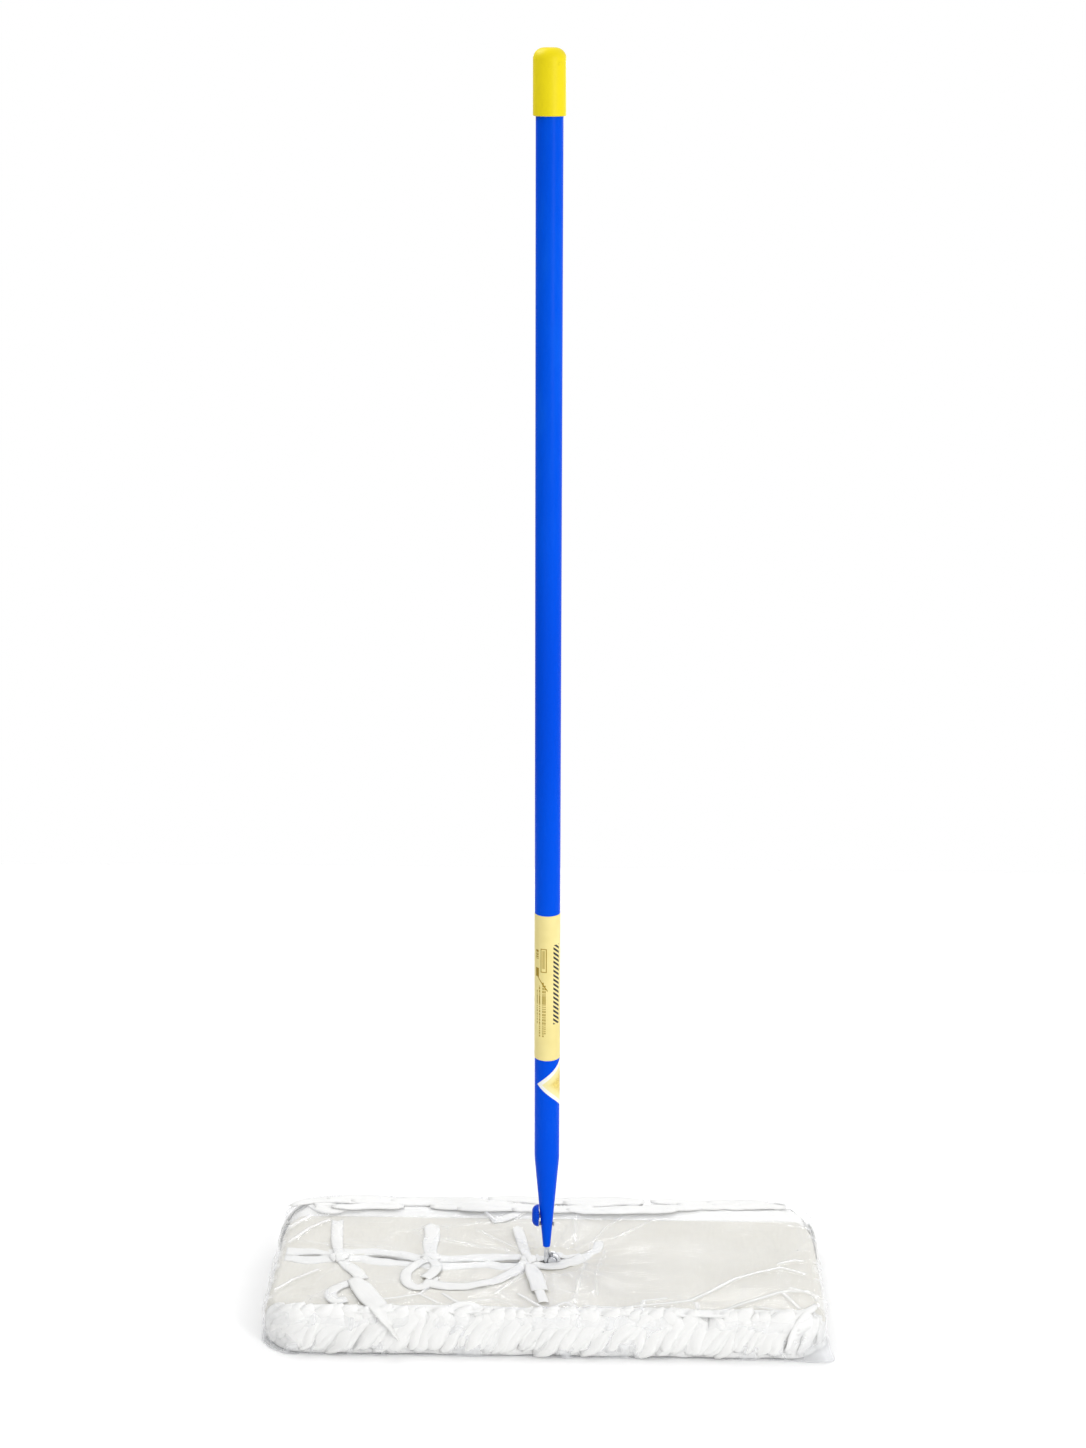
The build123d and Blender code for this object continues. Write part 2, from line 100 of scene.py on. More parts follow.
def finish_with(made, *materials):
    made.data.materials.clear()
    for material in materials:
        made.data.materials.append(material)


floor_half = 1.3
corners = [(floor_half * x, floor_half * y, 0) for x, y in ((-1, -1), (1, -1), (1, 1), (-1, 1))]
floor = piece("floor", corners, [(0, 1, 2, 3)])
floor_white, shader = shaded("floor_white", Base_Color=(0.94, 0.94, 0.94, 1), Roughness=0.9,
                             Specular_IOR_Level=0.0)
finish_with(floor, floor_white)

surround = bpy.data.worlds.new("surround")
bpy.context.scene.world = surround
surround.use_nodes = True
sky = surround.node_tree
backdrop, room = sky.nodes["Background"], sky.nodes.new("ShaderNodeBackground")
choose, path = sky.nodes.new("ShaderNodeMixShader"), sky.nodes.new("ShaderNodeLightPath")
backdrop.inputs["Color"].default_value = room.inputs["Color"].default_value = (1, 1, 1, 1)
backdrop.inputs["Strength"].default_value = 1.0
aim, split, spread = (sky.nodes.new("ShaderNode" + kind) for kind in ("TexCoord", "SeparateXYZ", "MapRange"))
for socket, value in (("From Min", -0.8), ("From Max", 0.8), ("To Min", 0.38), ("To Max", 0.92)):
    spread.inputs[socket].default_value = value
sky.links.new(aim.outputs["Generated"], split.inputs[0])
sky.links.new(split.outputs["X"], spread.inputs["Value"])
sky.links.new(spread.outputs["Result"], room.inputs["Strength"])
sky.links.new(path.outputs["Is Camera Ray"], choose.inputs[0])
sky.links.new(room.outputs[0], choose.inputs[1])
sky.links.new(backdrop.outputs[0], choose.inputs[2])
sky.links.new(choose.outputs[0], sky.nodes["World Output"].inputs["Surface"])


def soft_light(name, place, target, width, height, power):
    lamp = bpy.data.lights.new(name, "AREA")
    lamp.shape = "RECTANGLE"
    lamp.size, lamp.size_y = width, height
    lamp.energy = power
    holder = bpy.data.objects.new(name, lamp)
    bpy.context.scene.collection.objects.link(holder)
    holder.location = place
    holder.rotation_euler = (Vector(target) - Vector(place)).to_track_quat("-Z", "Y").to_euler()


soft_light("overhead", (-0.9, 0.4, 2.3), (0, 0, 0.1), 1.3, 1.0, 20)
soft_light("side_key", (1.5, -1.8, 1.3), (0, 0, 0.4), 0.5, 1.6, 16)
soft_light("low_strip", (0.9, -1.6, 0.8), (0, 0, 0.02), 0.6, 0.10, 3.5)
soft_light("front_fill", (-0.4, -1.2, 0.5), (0, 0, 0.02), 1.2, 0.3, 1.2)
soft_light("back_strip", (0.3, 1.6, 1.2), (0, 0, 0.05), 1.2, 0.12, 8)

# ---------------------------------------------------------------- painted handle tube
# Thin welded steel tube, swaged to a cone at the bottom, dipped in blue enamel. The enamel is a
# little uneven along the tube and has small scuffs from handling.


class Net:
    """Nodes of one material or group, joined as they are made."""

    def __init__(self, tree):
        self.tree = tree

    def node(self, kind, *sources, **settings):
        made = self.tree.nodes.new(kind)
        for name, value in settings.items():
            setattr(made, name, value)
        for place, source in enumerate(sources):
            self.join(source, made.inputs[place])
        return made.outputs[0]

    def join(self, source, socket):
        if source is None:
            return
        if isinstance(source, bpy.types.NodeSocket):
            self.tree.links.new(source, socket)
        else:
            socket.default_value = source

    def sum(self, operation, *sources, clamp=False):
        return self.node("ShaderNodeMath", *sources, operation=operation, use_clamp=clamp)

    def ramp(self, source, low, high, start=0.0, end=1.0):
        """Source stretched from low..high to start..end, and held outside."""
        made = self.tree.nodes.new("ShaderNodeMapRange")
        made.interpolation_type = "SMOOTHSTEP"
        for socket, value in zip(made.inputs[:5], (source, low, high, start, end)):
            self.join(value, socket)
        return made.outputs[0]

    def noise(self, vector, scale, detail=3.0, roughness=0.5):
        made = self.tree.nodes.new("ShaderNodeTexNoise")
        for name, value in (("Vector", vector), ("Scale", scale), ("Detail", detail), ("Roughness", roughness)):
            self.join(value, made.inputs[name])
        return made.outputs["Fac"]

    def mix(self, share, first, second):
        made = self.tree.nodes.new("ShaderNodeMix")
        made.data_type = "RGBA"
        for name, value in (("Factor", share), ("A", first), ("B", second)):
            kind = "VALUE" if name == "Factor" else "RGBA"
            socket = [one for one in made.inputs if one.name == name and one.type == kind][0]
            self.join(value, socket)
        return [one for one in made.outputs if one.type == "RGBA"][0]

    def bump(self, height, strength, distance, normal=None):
        made = self.tree.nodes.new("ShaderNodeBump")
        for name, value in (("Height", height), ("Strength", strength), ("Distance", distance), ("Normal", normal)):
            self.join(value, made.inputs[name])
        return made.outputs["Normal"]

    def place(self):
        """Coordinates in the piece's own metres."""
        made = self.tree.nodes.new("ShaderNodeTexCoord")
        return made.outputs["Object"]

    def parts(self, vector):
        made = self.tree.nodes.new("ShaderNodeSeparateXYZ")
        self.join(vector, made.inputs[0])
        return made.outputs

    def stretch(self, vector, along_x, along_y, along_z):
        return self.node("ShaderNodeVectorMath", vector, (along_x, along_y, along_z), operation="MULTIPLY")

    def use(self, group, **sources):
        """A node group placed here; its inputs by name, its outputs back."""
        made = self.tree.nodes.new("ShaderNodeGroup")
        made.node_tree = group
        for name, value in sources.items():
            self.join(value, made.inputs[name.replace("_", " ")])
        return made.outputs


def new_group(name, inputs, outputs):
    """An empty shader node group with named sockets, and its net."""
    group = bpy.data.node_groups.new(name, "ShaderNodeTree")
    for title, kind, value in inputs:
        socket = group.interface.new_socket(title, in_out="INPUT", socket_type=kind)
        if value is not None:
            socket.default_value = value
    for title, kind in outputs:
        group.interface.new_socket(title, in_out="OUTPUT", socket_type=kind)
    net = Net(group)
    given = group.nodes.new("NodeGroupInput").outputs
    result = group.nodes.new("NodeGroupOutput").inputs
    return group, net, given, result


# Wear: dull scuffs and a slow drift of tone, the same for paint, plastic and metal
wear_group, net, given, result = new_group(
    "handling_wear",
    [("Vector", "NodeSocketVector", None), ("Scuff size", "NodeSocketFloat", 60.0), ("Amount", "NodeSocketFloat", 0.3)],
    [("Scuffs", "NodeSocketFloat"), ("Drift", "NodeSocketFloat"), ("Grain", "NodeSocketFloat")],
)
broad = net.noise(given["Vector"], 9.0, 2.0)
fine = net.noise(given["Vector"], given["Scuff size"], 5.0, 0.65)
spots = net.ramp(net.sum("MULTIPLY", broad, fine), 0.24, 0.42)
net.join(net.sum("MULTIPLY", spots, given["Amount"]), result["Scuffs"])
net.join(broad, result["Drift"])
net.join(net.noise(given["Vector"], 900.0, 2.0), result["Grain"])

blue_enamel, shader = shaded("blue_enamel", Specular_IOR_Level=0.03)
net = Net(blue_enamel.node_tree)
where = net.place()
worn = net.use(wear_group, Vector=net.stretch(where, 1, 1, 0.25), Scuff_size=70.0, Amount=0.35)
tone = net.mix(net.ramp(worn["Drift"], 0.3, 0.7), (0.0, 0.066, 0.68, 1), (0.0, 0.090, 0.76, 1))
tone = net.mix(worn["Scuffs"], tone, (0.004, 0.120, 0.76, 1))
net.join(tone, shader.inputs["Base Color"])
net.join(net.sum("MULTIPLY_ADD", worn["Scuffs"], 0.5, 0.27), shader.inputs["Roughness"])
orange_peel = net.noise(where, 260.0, 2.0)
net.join(net.bump(orange_peel, 0.25, 0.0004), shader.inputs["Normal"])
finish_with(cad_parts["handle_tube"], blue_enamel)

# ---------------------------------------------------------------- end cap
# A pushed-on cap of soft yellow plastic, moulded in one piece, with the mark of its gate on the
# front and a faint line where the two halves of the mould met.

cap_yellow, shader = shaded("cap_yellow", Specular_IOR_Level=0.15)
net = Net(cap_yellow.node_tree)
where = net.place()
worn = net.use(wear_group, Vector=where, Scuff_size=90.0, Amount=0.4)
tone = net.mix(net.ramp(worn["Drift"], 0.3, 0.7), (0.82, 0.67, 0.005, 1), (0.86, 0.71, 0.009, 1))
tone = net.mix(worn["Scuffs"], tone, (0.70, 0.55, 0.01, 1))
net.join(tone, shader.inputs["Base Color"])
net.join(net.sum("MULTIPLY_ADD", worn["Grain"], 0.12, 0.34), shader.inputs["Roughness"])
across, along, up = net.parts(where)[:3]
seam_line = net.ramp(net.sum("ABSOLUTE", along), 0.0002, 0.0006, 1.0, 0.0)
height = net.sum("MULTIPLY_ADD", worn["Grain"], 0.4, seam_line)
net.join(net.bump(height, 0.35, 0.0003), shader.inputs["Normal"])
finish_with(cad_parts["end_cap"], cap_yellow)

cap_low, cap_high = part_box("end_cap")
cap_radius = (cap_high[0] - cap_low[0]) / 2
gate_radius = 0.0019
gate_height = 0.0004
gate_rise = cap_high[2] - 0.014
gate_bearing = math.radians(-90 + 38)


def button(name, centre, facing, radius, height, rings=4, around=20):
    """A low round boss with a soft edge, standing on a surface that faces one way."""
    facing = Vector(facing).normalized()
    side = facing.orthogonal().normalized()
    other = facing.cross(side)
    points = [Vector(centre) + facing * height]
    for ring in range(1, rings + 1):
        share = ring / rings
        lift = height * math.sqrt(max(0.0, 1 - share ** 4))
        for step in range(around):
            turn = 2 * math.pi * step / around
            way = side * math.cos(turn) + other * math.sin(turn)
            points.append(Vector(centre) + facing * lift + way * radius * share)
    faces = [(0, 1 + step, 1 + (step + 1) % around) for step in range(around)]
    for ring in range(rings - 1):
        start = 1 + ring * around
        for step in range(around):
            after = (step + 1) % around
            faces.append((start + step, start + around + step, start + around + after, start + after))
    return piece(name, points, faces)


out = (math.cos(gate_bearing), math.sin(gate_bearing), 0)
gate_place = (out[0] * cap_radius, out[1] * cap_radius, gate_rise)
gate_mark = button("cap_gate_mark", gate_place, out, gate_radius, gate_height)
finish_with(gate_mark, cap_yellow)
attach(gate_mark, "handle")

# ---------------------------------------------------------------- paper label
# Cream coated paper wrapped round the tube and lapped behind. It carries a plain column of black
# hatching and gold rules as generic print, and no lettering.

bar_group, net, given, result = new_group(
    "printed_bar",
    [(title, "NodeSocketFloat", value) for title, value in (
        ("Across", 0.0), ("Up", 0.0), ("Middle across", 0.0), ("Middle up", 0.0), ("Half width", 0.001),
        ("Half height", 0.001))],
    [("Mask", "NodeSocketFloat")],
)


def beyond(place, middle, half):
    """How far a place lies outside a band."""
    return net.sum("SUBTRACT", net.sum("ABSOLUTE", net.sum("SUBTRACT", place, middle)), half)


off_side = beyond(given["Across"], given["Middle across"], given["Half width"])
off_up = beyond(given["Up"], given["Middle up"], given["Half height"])
net.join(net.ramp(net.sum("MAXIMUM", off_side, off_up), -0.00012, 0.00012, 1.0, 0.0), result["Mask"])

label_low, label_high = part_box("label")
label_radius = (label_high[0] - label_low[0]) / 2
label_middle = (label_low[2] + label_high[2]) / 2

label_paper, shader = shaded("label_paper", Specular_IOR_Level=0.3)
net = Net(label_paper.node_tree)
where = net.place()
across, along, up = net.parts(where)[:3]
bearing = net.sum("ARCTAN2", across, net.sum("MULTIPLY", along, -1.0))
wrap = net.sum("MULTIPLY", bearing, label_radius)
rise = net.sum("SUBTRACT", up, label_middle)
fibre = net.noise(net.stretch(where, 1, 1, 0.3), 700.0, 4.0)
tone = net.mix(net.ramp(net.noise(where, 25.0), 0.35, 0.65), (0.80, 0.68, 0.27, 1), (0.86, 0.745, 0.33, 1))


def bar(middle_across, middle_up, half_width, half_height):
    return net.use(bar_group, Across=wrap, Up=rise, Middle_across=middle_across, Middle_up=middle_up,
                   Half_width=half_width, Half_height=half_height)["Mask"]


hatch_pitch = 0.0047
hatch_slope = 0.8
slanted = net.sum("MULTIPLY", net.sum("MULTIPLY_ADD", wrap, hatch_slope, rise), 2 * math.pi / hatch_pitch)
hatching = net.ramp(net.sum("SINE", slanted), -0.25, 0.05)
black_bars = net.sum("MULTIPLY", hatching, bar(0.0102, 0.0042, 0.0038, 0.0420))
dashes = net.ramp(net.noise(net.stretch(where, 0.001, 0.001, 1), 900.0, 0.0), 0.44, 0.5)
gold_rules = net.sum("SUBTRACT", bar(-0.0035, 0.030, 0.0032, 0.0125), bar(-0.0035, 0.030, 0.0023, 0.0116),
                     clamp=True)
gold_rules = net.sum("MAXIMUM", gold_rules, net.sum("MULTIPLY", bar(-0.0035, 0.031, 0.0014, 0.0095), 0.55))
for middle_across, middle_up, half_width, half_height, broken in (
        (-0.0110, 0.036, 0.0018, 0.0050, True), (-0.0110, 0.017, 0.0022, 0.0046, False),
        (-0.0020, -0.022, 0.0006, 0.026, True), (-0.0040, -0.022, 0.0007, 0.029, True),
        (-0.0078, -0.024, 0.0006, 0.027, True), (-0.0110, -0.020, 0.0005, 0.018, True)):
    one = bar(middle_across, middle_up, half_width, half_height)
    gold_rules = net.sum("MAXIMUM", gold_rules, net.sum("MULTIPLY", one, dashes) if broken else one)
sloping = net.sum("MULTIPLY_ADD", wrap, 1.35, rise)
sloping_bar = net.use(bar_group, Across=wrap, Up=sloping, Middle_across=-0.0052, Middle_up=-0.001,
                      Half_width=0.0058, Half_height=0.0009)["Mask"]
gold_rules = net.sum("MAXIMUM", gold_rules, sloping_bar)
print_wear = net.ramp(net.noise(where, 300.0, 4.0), 0.0, 0.30)
tone = net.mix(net.sum("MULTIPLY", gold_rules, print_wear), tone, (0.34, 0.22, 0.006, 1))
tone = net.mix(net.sum("MULTIPLY", black_bars, print_wear), tone, (0.018, 0.020, 0.030, 1))
net.join(tone, shader.inputs["Base Color"])
net.join(net.sum("MULTIPLY_ADD", fibre, 0.2, 0.36), shader.inputs["Roughness"])
net.join(net.bump(fibre, 0.15, 0.0002), shader.inputs["Normal"])
finish_with(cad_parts["label"], label_paper)

# ---------------------------------------------------------------- diamond sticker
# A diamond of coated paper stuck over the start of the taper: a white border round a pale gold
# field with a mottled gold spot in its middle.

sticker_half_width = 0.029
sticker_half_height = 0.026
sticker_bearing = math.radians(-5)
sticker_low, sticker_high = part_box("diamond_sticker")
sticker_middle = (sticker_low[2] + sticker_high[2]) / 2

sticker_foil, shader = shaded("sticker_foil", Specular_IOR_Level=0.35)
net = Net(sticker_foil.node_tree)
where = net.place()
across, along, up = net.parts(where)[:3]
bearing = net.sum("SUBTRACT", net.sum("ARCTAN2", along, across), sticker_bearing)
share_across = net.sum("DIVIDE", net.sum("ABSOLUTE", net.sum("MULTIPLY", bearing, label_radius)), sticker_half_width)
share_up = net.sum("DIVIDE", net.sum("ABSOLUTE", net.sum("SUBTRACT", up, sticker_middle)), sticker_half_height)
share_out = net.sum("ADD", share_across, share_up)
border = net.ramp(share_out, 0.80, 0.84)
mottle = net.noise(where, 420.0, 4.0, 0.7)
spot = net.sum("MULTIPLY", net.ramp(share_out, 0.25, 0.62, 1.0, 0.0), net.ramp(mottle, 0.42, 0.60))
tone = net.mix(net.ramp(share_out, 0.3, 0.8), (0.80, 0.64, 0.16, 1), (0.84, 0.76, 0.38, 1))
tone = net.mix(spot, tone, (0.55, 0.36, 0.05, 1))
tone = net.mix(border, tone, (0.86, 0.86, 0.82, 1))
net.join(tone, shader.inputs["Base Color"])
net.join(net.sum("MULTIPLY_ADD", mottle, 0.15, 0.28), shader.inputs["Roughness"])
finish_with(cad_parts["diamond_sticker"], sticker_foil)

# ---------------------------------------------------------------- thumb screw, plug and insert
# The knob is moulded in the handle's blue and ribbed for the fingers. Its steel screw runs through
# the cone into a brass insert in a plastic plug, and holds the rod.

knob_blue, shader = shaded("knob_blue", Specular_IOR_Level=0.08)
net = Net(knob_blue.node_tree)
where = net.place()
across, along, up = net.parts(where)[:3]
worn = net.use(wear_group, Vector=where, Scuff_size=140.0, Amount=0.5)
net.join(net.mix(worn["Scuffs"], (0.0, 0.052, 0.56, 1), (0.004, 0.09, 0.66, 1)), shader.inputs["Base Color"])
net.join(net.sum("MULTIPLY_ADD", worn["Grain"], 0.15, 0.33), shader.inputs["Roughness"])
knob_low, knob_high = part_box("clamp_knob")
knob_middle = (knob_low[2] + knob_high[2]) / 2
rib_count = 24
rib_turn = net.sum("ARCTAN2", along, net.sum("SUBTRACT", up, knob_middle))
ribs = net.sum("SINE", net.sum("MULTIPLY", rib_turn, rib_count))
net.join(net.bump(net.sum("MULTIPLY_ADD", worn["Grain"], 0.2, ribs), 0.4, 0.0006), shader.inputs["Normal"])
finish_with(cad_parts["clamp_knob"], knob_blue)

plug_grey, shader = shaded("plug_grey", Specular_IOR_Level=0.3)
net = Net(plug_grey.node_tree)
worn = net.use(wear_group, Vector=net.place(), Scuff_size=100.0, Amount=0.3)
net.join(net.mix(worn["Drift"], (0.42, 0.42, 0.43, 1), (0.52, 0.52, 0.52, 1)), shader.inputs["Base Color"])
net.join(net.sum("MULTIPLY_ADD", worn["Grain"], 0.2, 0.4), shader.inputs["Roughness"])
finish_with(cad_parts["taper_plug"], plug_grey)


def metal(name, dark, light, roughness, spangle_size, bump):
    """A metal with a spangle of lighter and darker patches and dull handling marks."""
    material, shader = shaded(name, Metallic=1.0)
    net = Net(material.node_tree)
    where = net.place()
    spangle = net.tree.nodes.new("ShaderNodeTexVoronoi")
    net.join(where, spangle.inputs["Vector"])
    net.join(spangle_size, spangle.inputs["Scale"])
    worn = net.use(wear_group, Vector=where, Scuff_size=160.0, Amount=0.6)
    patch = net.ramp(net.parts(spangle.outputs["Color"])[0], 0.1, 0.9)
    tone = net.mix(patch, dark, light)
    net.join(net.mix(worn["Scuffs"], tone, tuple(0.55 * one for one in dark[:3]) + (1,)), shader.inputs["Base Color"])
    net.join(net.sum("ADD", net.sum("MULTIPLY_ADD", patch, 0.12, roughness), net.sum("MULTIPLY", worn["Scuffs"], 0.3)),
             shader.inputs["Roughness"])
    net.join(net.bump(worn["Grain"], bump, 0.0002), shader.inputs["Normal"])
    return material


brass = metal("brass", (0.60, 0.40, 0.13, 1), (0.74, 0.52, 0.20, 1), 0.25, 300.0, 0.2)
dark_steel = metal("dark_steel", (0.16, 0.17, 0.20, 1), (0.28, 0.29, 0.33, 1), 0.35, 400.0, 0.3)
finish_with(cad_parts["screw_insert"], brass)
finish_with(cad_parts["thumb_screw"], dark_steel)
finish_with(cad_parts["cross_rivet"], dark_steel)

# ---------------------------------------------------------------- rod, knuckle and wire frame
# Bright galvanised rod curled into an eye, a pressed steel yoke that turns on the frame's bridge
# wire, a riveted pin, and the bent and welded wire frame that fills the pocket.

galvanised = metal("galvanised", (0.66, 0.67, 0.69, 1), (0.82, 0.83, 0.85, 1), 0.36, 420.0, 0.35)
pressed_steel = metal("pressed_steel", (0.74, 0.75, 0.76, 1), (0.88, 0.88, 0.89, 1), 0.38, 260.0, 0.25)
finish_with(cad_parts["eye_rod"], galvanised)
for name in ("frame_loop", "frame_cross_wires", "frame_bridge", "stop_collars"):
    finish_with(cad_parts[name], galvanised)
finish_with(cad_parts["knuckle_yoke"], pressed_steel)
finish_with(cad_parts["pivot_pin"], galvanised)

# ---------------------------------------------------------------- canvas pocket
# Unbleached cotton canvas, two layers sewn together round the edge. The top one is slit from the
# left end past the handle so that the frame can be slid in, and it puckers where the ties pull.

pocket_low, pocket_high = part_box("pocket_top")
pocket_half_length = pocket_high[0]
pocket_half_width = pocket_high[1]
pocket_corner = 0.030
canvas_half_length = pocket_half_length + 0.0090
pocket_seam_z = pocket_low[2] + 0.0015
canvas_z = pocket_high[2] - 0.0004
slit_end = 0.050
eye_low, eye_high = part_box("pivot_pin")
eye_x = (eye_low[0] + eye_high[0]) / 2
mouth_half_length = 0.016
mouth_front, mouth_rear = 0.0064, 0.0100
knot_places = ((-0.213, 0.004), (-0.119, 0.003), (-0.0165, 0.006))


def cloth_noise(x, y, size, seed):
    """Smooth values between -1 and 1 that change over about one size."""
    grid = np.random.default_rng(seed).uniform(-1, 1, (64, 64))
    x, y = np.asarray(x, float), np.asarray(y, float)
    u, v = x / size + 500, y / size + 500
    i, j = np.floor(u).astype(int), np.floor(v).astype(int)
    a, b = u - i, v - j
    a, b = a * a * (3 - 2 * a), b * b * (3 - 2 * b)
    near = grid[i % 64, j % 64] * (1 - a) + grid[(i + 1) % 64, j % 64] * a
    far = grid[i % 64, (j + 1) % 64] * (1 - a) + grid[(i + 1) % 64, (j + 1) % 64] * a
    return near * (1 - b) + far * b


def ease(x):
    x = np.clip(x, 0, 1)
    return x * x * (3 - 2 * x)


def inside_edge(x, y, half_length, half_width, corner):
    """How far a place lies inside a rounded rectangle's edge."""
    dx = np.abs(x) - (half_length - corner)
    dy = np.abs(y) - (half_width - corner)
    outside = np.hypot(np.maximum(dx, 0), np.maximum(dy, 0))
    return corner - outside - np.minimum(np.maximum(dx, dy), 0)


slit_line = ((-0.272, 0.010), (-0.254, 0.008), (-0.215, 0.010), (-0.180, 0.010), (-0.145, 0.003),
             (-0.130, -0.003), (-0.100, -0.002), (-0.060, 0.001), (-0.017, 0.002), (0.006, 0.001),
             (0.022, 0.008), (0.038, 0.020), (0.050, 0.032), (0.270, 0.034))
slit_openings = ((-0.258, -0.230, 0.0024), (-0.188, -0.134, 0.0034), (-0.112, -0.060, 0.0016),
                 (-0.056, -0.012, 0.0032), (0.012, 0.036, 0.0015))


def slit_gap(x, side):
    """How far a lip of the slit stands off its line, along it."""
    gap = 0.0001 + 0 * x
    for start, end, wide in slit_openings:
        off_middle = (x - (start + end) / 2) / ((end - start) / 2)
        gap = np.maximum(gap, wide * np.clip(1 - off_middle ** 2, 0, 1) ** 0.7)
    lens = (mouth_front if side < 0 else mouth_rear) * np.clip(1 - ((x - eye_x) / mouth_half_length) ** 2, 0, 1)
    return np.where(x < slit_end, np.maximum(gap, lens), 0.0)


def slit_bend(x):
    """The slit wanders a little to each side, and turns to the rear past the handle."""
    return np.mean([np.interp(x + off, *zip(*slit_line)) for off in (-0.009, -0.0045, 0, 0.0045, 0.009)], axis=0)


def canvas_height(x, y):
    """Height of the pocket's top canvas."""
    depth = inside_edge(x, y, canvas_half_length, pocket_half_width, pocket_corner)
    shoulder = (1 - np.clip(depth / 0.010, 0, 1)) ** 2.6
    at_side = (ease((np.abs(x) - (canvas_half_length - 0.024)) / 0.016)
               * ease((pocket_half_width - 0.004 - np.abs(y)) / 0.012))
    height = canvas_z - shoulder * (0.0025 + (canvas_z - pocket_seam_z + 0.0045) * at_side)
    middle = ease(np.abs(y) / 0.03) * ease(depth / 0.03)
    height = height + middle * (0.0012 + 0.0010 * cloth_noise(x, y, 0.070, 1) + 0.0006 * cloth_noise(x, y, 0.028, 2))
    for knot_x, knot_y in knot_places:
        away = np.hypot(x - knot_x, y - knot_y) + 1e-6
        turn = np.arctan2(y - knot_y, x - knot_x)
        pucker = np.exp(-((away - 0.020) / 0.018) ** 2) * np.sin(turn * 9 + knot_x * 300)
        height = height + 0.0006 * pucker * middle
    frame_ridge = np.exp(-((np.abs(y) - 0.066) / 0.005) ** 2) * (np.abs(x) < 0.24)
    return height + 0.0005 * frame_ridge * ease(depth / 0.02)


def grid_faces(columns, rows):
    return [(c * rows + r, (c + 1) * rows + r, (c + 1) * rows + r + 1, c * rows + r + 1)
            for c in range(columns - 1) for r in range(rows - 1)]


def canvas_half(side):
    """One half of the top canvas, from the slit out to the edge."""
    columns, rows = 271, 44
    x = np.linspace(-canvas_half_length, canvas_half_length, columns)
    over = np.maximum(np.abs(x) - (canvas_half_length - pocket_corner), 0)
    edge = pocket_half_width - pocket_corner + np.sqrt(np.maximum(pocket_corner ** 2 - over ** 2, 0))
    share = np.linspace(0, 1, rows) ** 0.9
    lip = slit_gap(x, side) * side + slit_bend(x)
    y = lip[:, None] + (side * edge - lip)[:, None] * share[None, :]
    xs = np.repeat(x[:, None], rows, axis=1)
    z = canvas_height(xs, y)
    rolled = np.exp(-share[None, :] * 40) * (slit_gap(x, side) > 0.0006)[:, None]
    z = z - 0.0016 * rolled
    points = np.stack([xs, y, z], axis=2).reshape(-1, 3)
    faces = grid_faces(columns, rows)
    return points, faces if side < 0 else [face[::-1] for face in faces]


def joined(parts):
    """Several lists of points and faces as one."""
    points, faces, start = [], [], 0
    for some_points, some_faces in parts:
        points.append(np.asarray(some_points, float))
        faces.extend([tuple(index + start for index in face) for face in some_faces])
        start += len(some_points)
    return np.concatenate(points), faces


# Plain weave: threads over and under each other, with slubs and a slow drift of tone
weave_group, net, given, result = new_group(
    "plain_weave",
    [("Vector", "NodeSocketVector", None), ("Thread", "NodeSocketFloat", 0.0008), ("Slub", "NodeSocketFloat", 0.3)],
    [("Height", "NodeSocketFloat"), ("Tone", "NodeSocketFloat"), ("Fuzz", "NodeSocketFloat")],
)
across, along, up = net.parts(given["Vector"])[:3]
per_thread = net.sum("DIVIDE", math.pi, given["Thread"])
sway = net.sum("MULTIPLY", net.noise(given["Vector"], 40.0, 2.0), 2.5)
warp = net.sum("SINE", net.sum("ADD", net.sum("MULTIPLY", across, per_thread), sway))
weft = net.sum("SINE", net.sum("ADD", net.sum("MULTIPLY", along, per_thread), sway))
crossing = net.sum("MULTIPLY", warp, weft)
ribs = net.sum("MAXIMUM", net.sum("ABSOLUTE", warp), net.sum("ABSOLUTE", weft))
slubs = net.noise(net.stretch(given["Vector"], 1, 0.12, 1), 500.0, 3.0)
weave_height = net.sum("ADD", net.sum("MULTIPLY_ADD", crossing, 0.35, ribs), net.sum("MULTIPLY", slubs, given["Slub"]))
net.join(weave_height, result["Height"])
net.join(net.sum("MULTIPLY_ADD", net.noise(given["Vector"], 12.0, 4.0), 0.7, net.sum("MULTIPLY", slubs, 0.3)),
         result["Tone"])
net.join(net.noise(given["Vector"], 2500.0, 2.0), result["Fuzz"])


def cotton(name, dark, light, thread, bump, sheen, by_surface=False):
    """Woven cotton; by_surface follows the strip's own length and width."""
    material, shader = shaded(name, Roughness=0.92, Specular_IOR_Level=0.15, Sheen_Weight=sheen, Sheen_Roughness=0.5)
    net = Net(material.node_tree)
    if by_surface:
        where = net.tree.nodes.new("ShaderNodeTexCoord").outputs["UV"]
    else:
        where = net.place()
    weave = net.use(weave_group, Vector=where, Thread=thread, Slub=0.4)
    tone = net.mix(net.ramp(weave["Tone"], 0.3, 0.7), dark, light)
    # Painted shade: where the weave lies low between the threads, the colour is mixed towards a darker copy of the
    # cotton (0.88 of its dark tone), as shade in the weave's hollows.
    painted_hollow_shade_mask = net.ramp(weave["Height"], 0.4, 1.2, 0.0, 1.0)
    net.join(net.mix(painted_hollow_shade_mask, tuple(0.88 * one for one in dark[:3]) + (1,), tone), shader.inputs["Base Color"])
    weave_relief = net.sum("MULTIPLY_ADD", weave["Fuzz"], 0.3, weave["Height"])
    net.join(net.bump(weave_relief, bump, 0.0003), shader.inputs["Normal"])
    return material


canvas_cotton = cotton("canvas_cotton", (0.70, 0.68, 0.615, 1), (0.76, 0.745, 0.685, 1), 0.0008, 0.5, 0.15)

canvas_thickness = 0.0009


def thicken(made, thickness, offset):
    """Cloth of one thickness: offset 1 adds it above the surface, -1 below."""
    thick = made.modifiers.new("cloth", "SOLIDIFY")
    thick.thickness = thickness
    thick.offset = offset


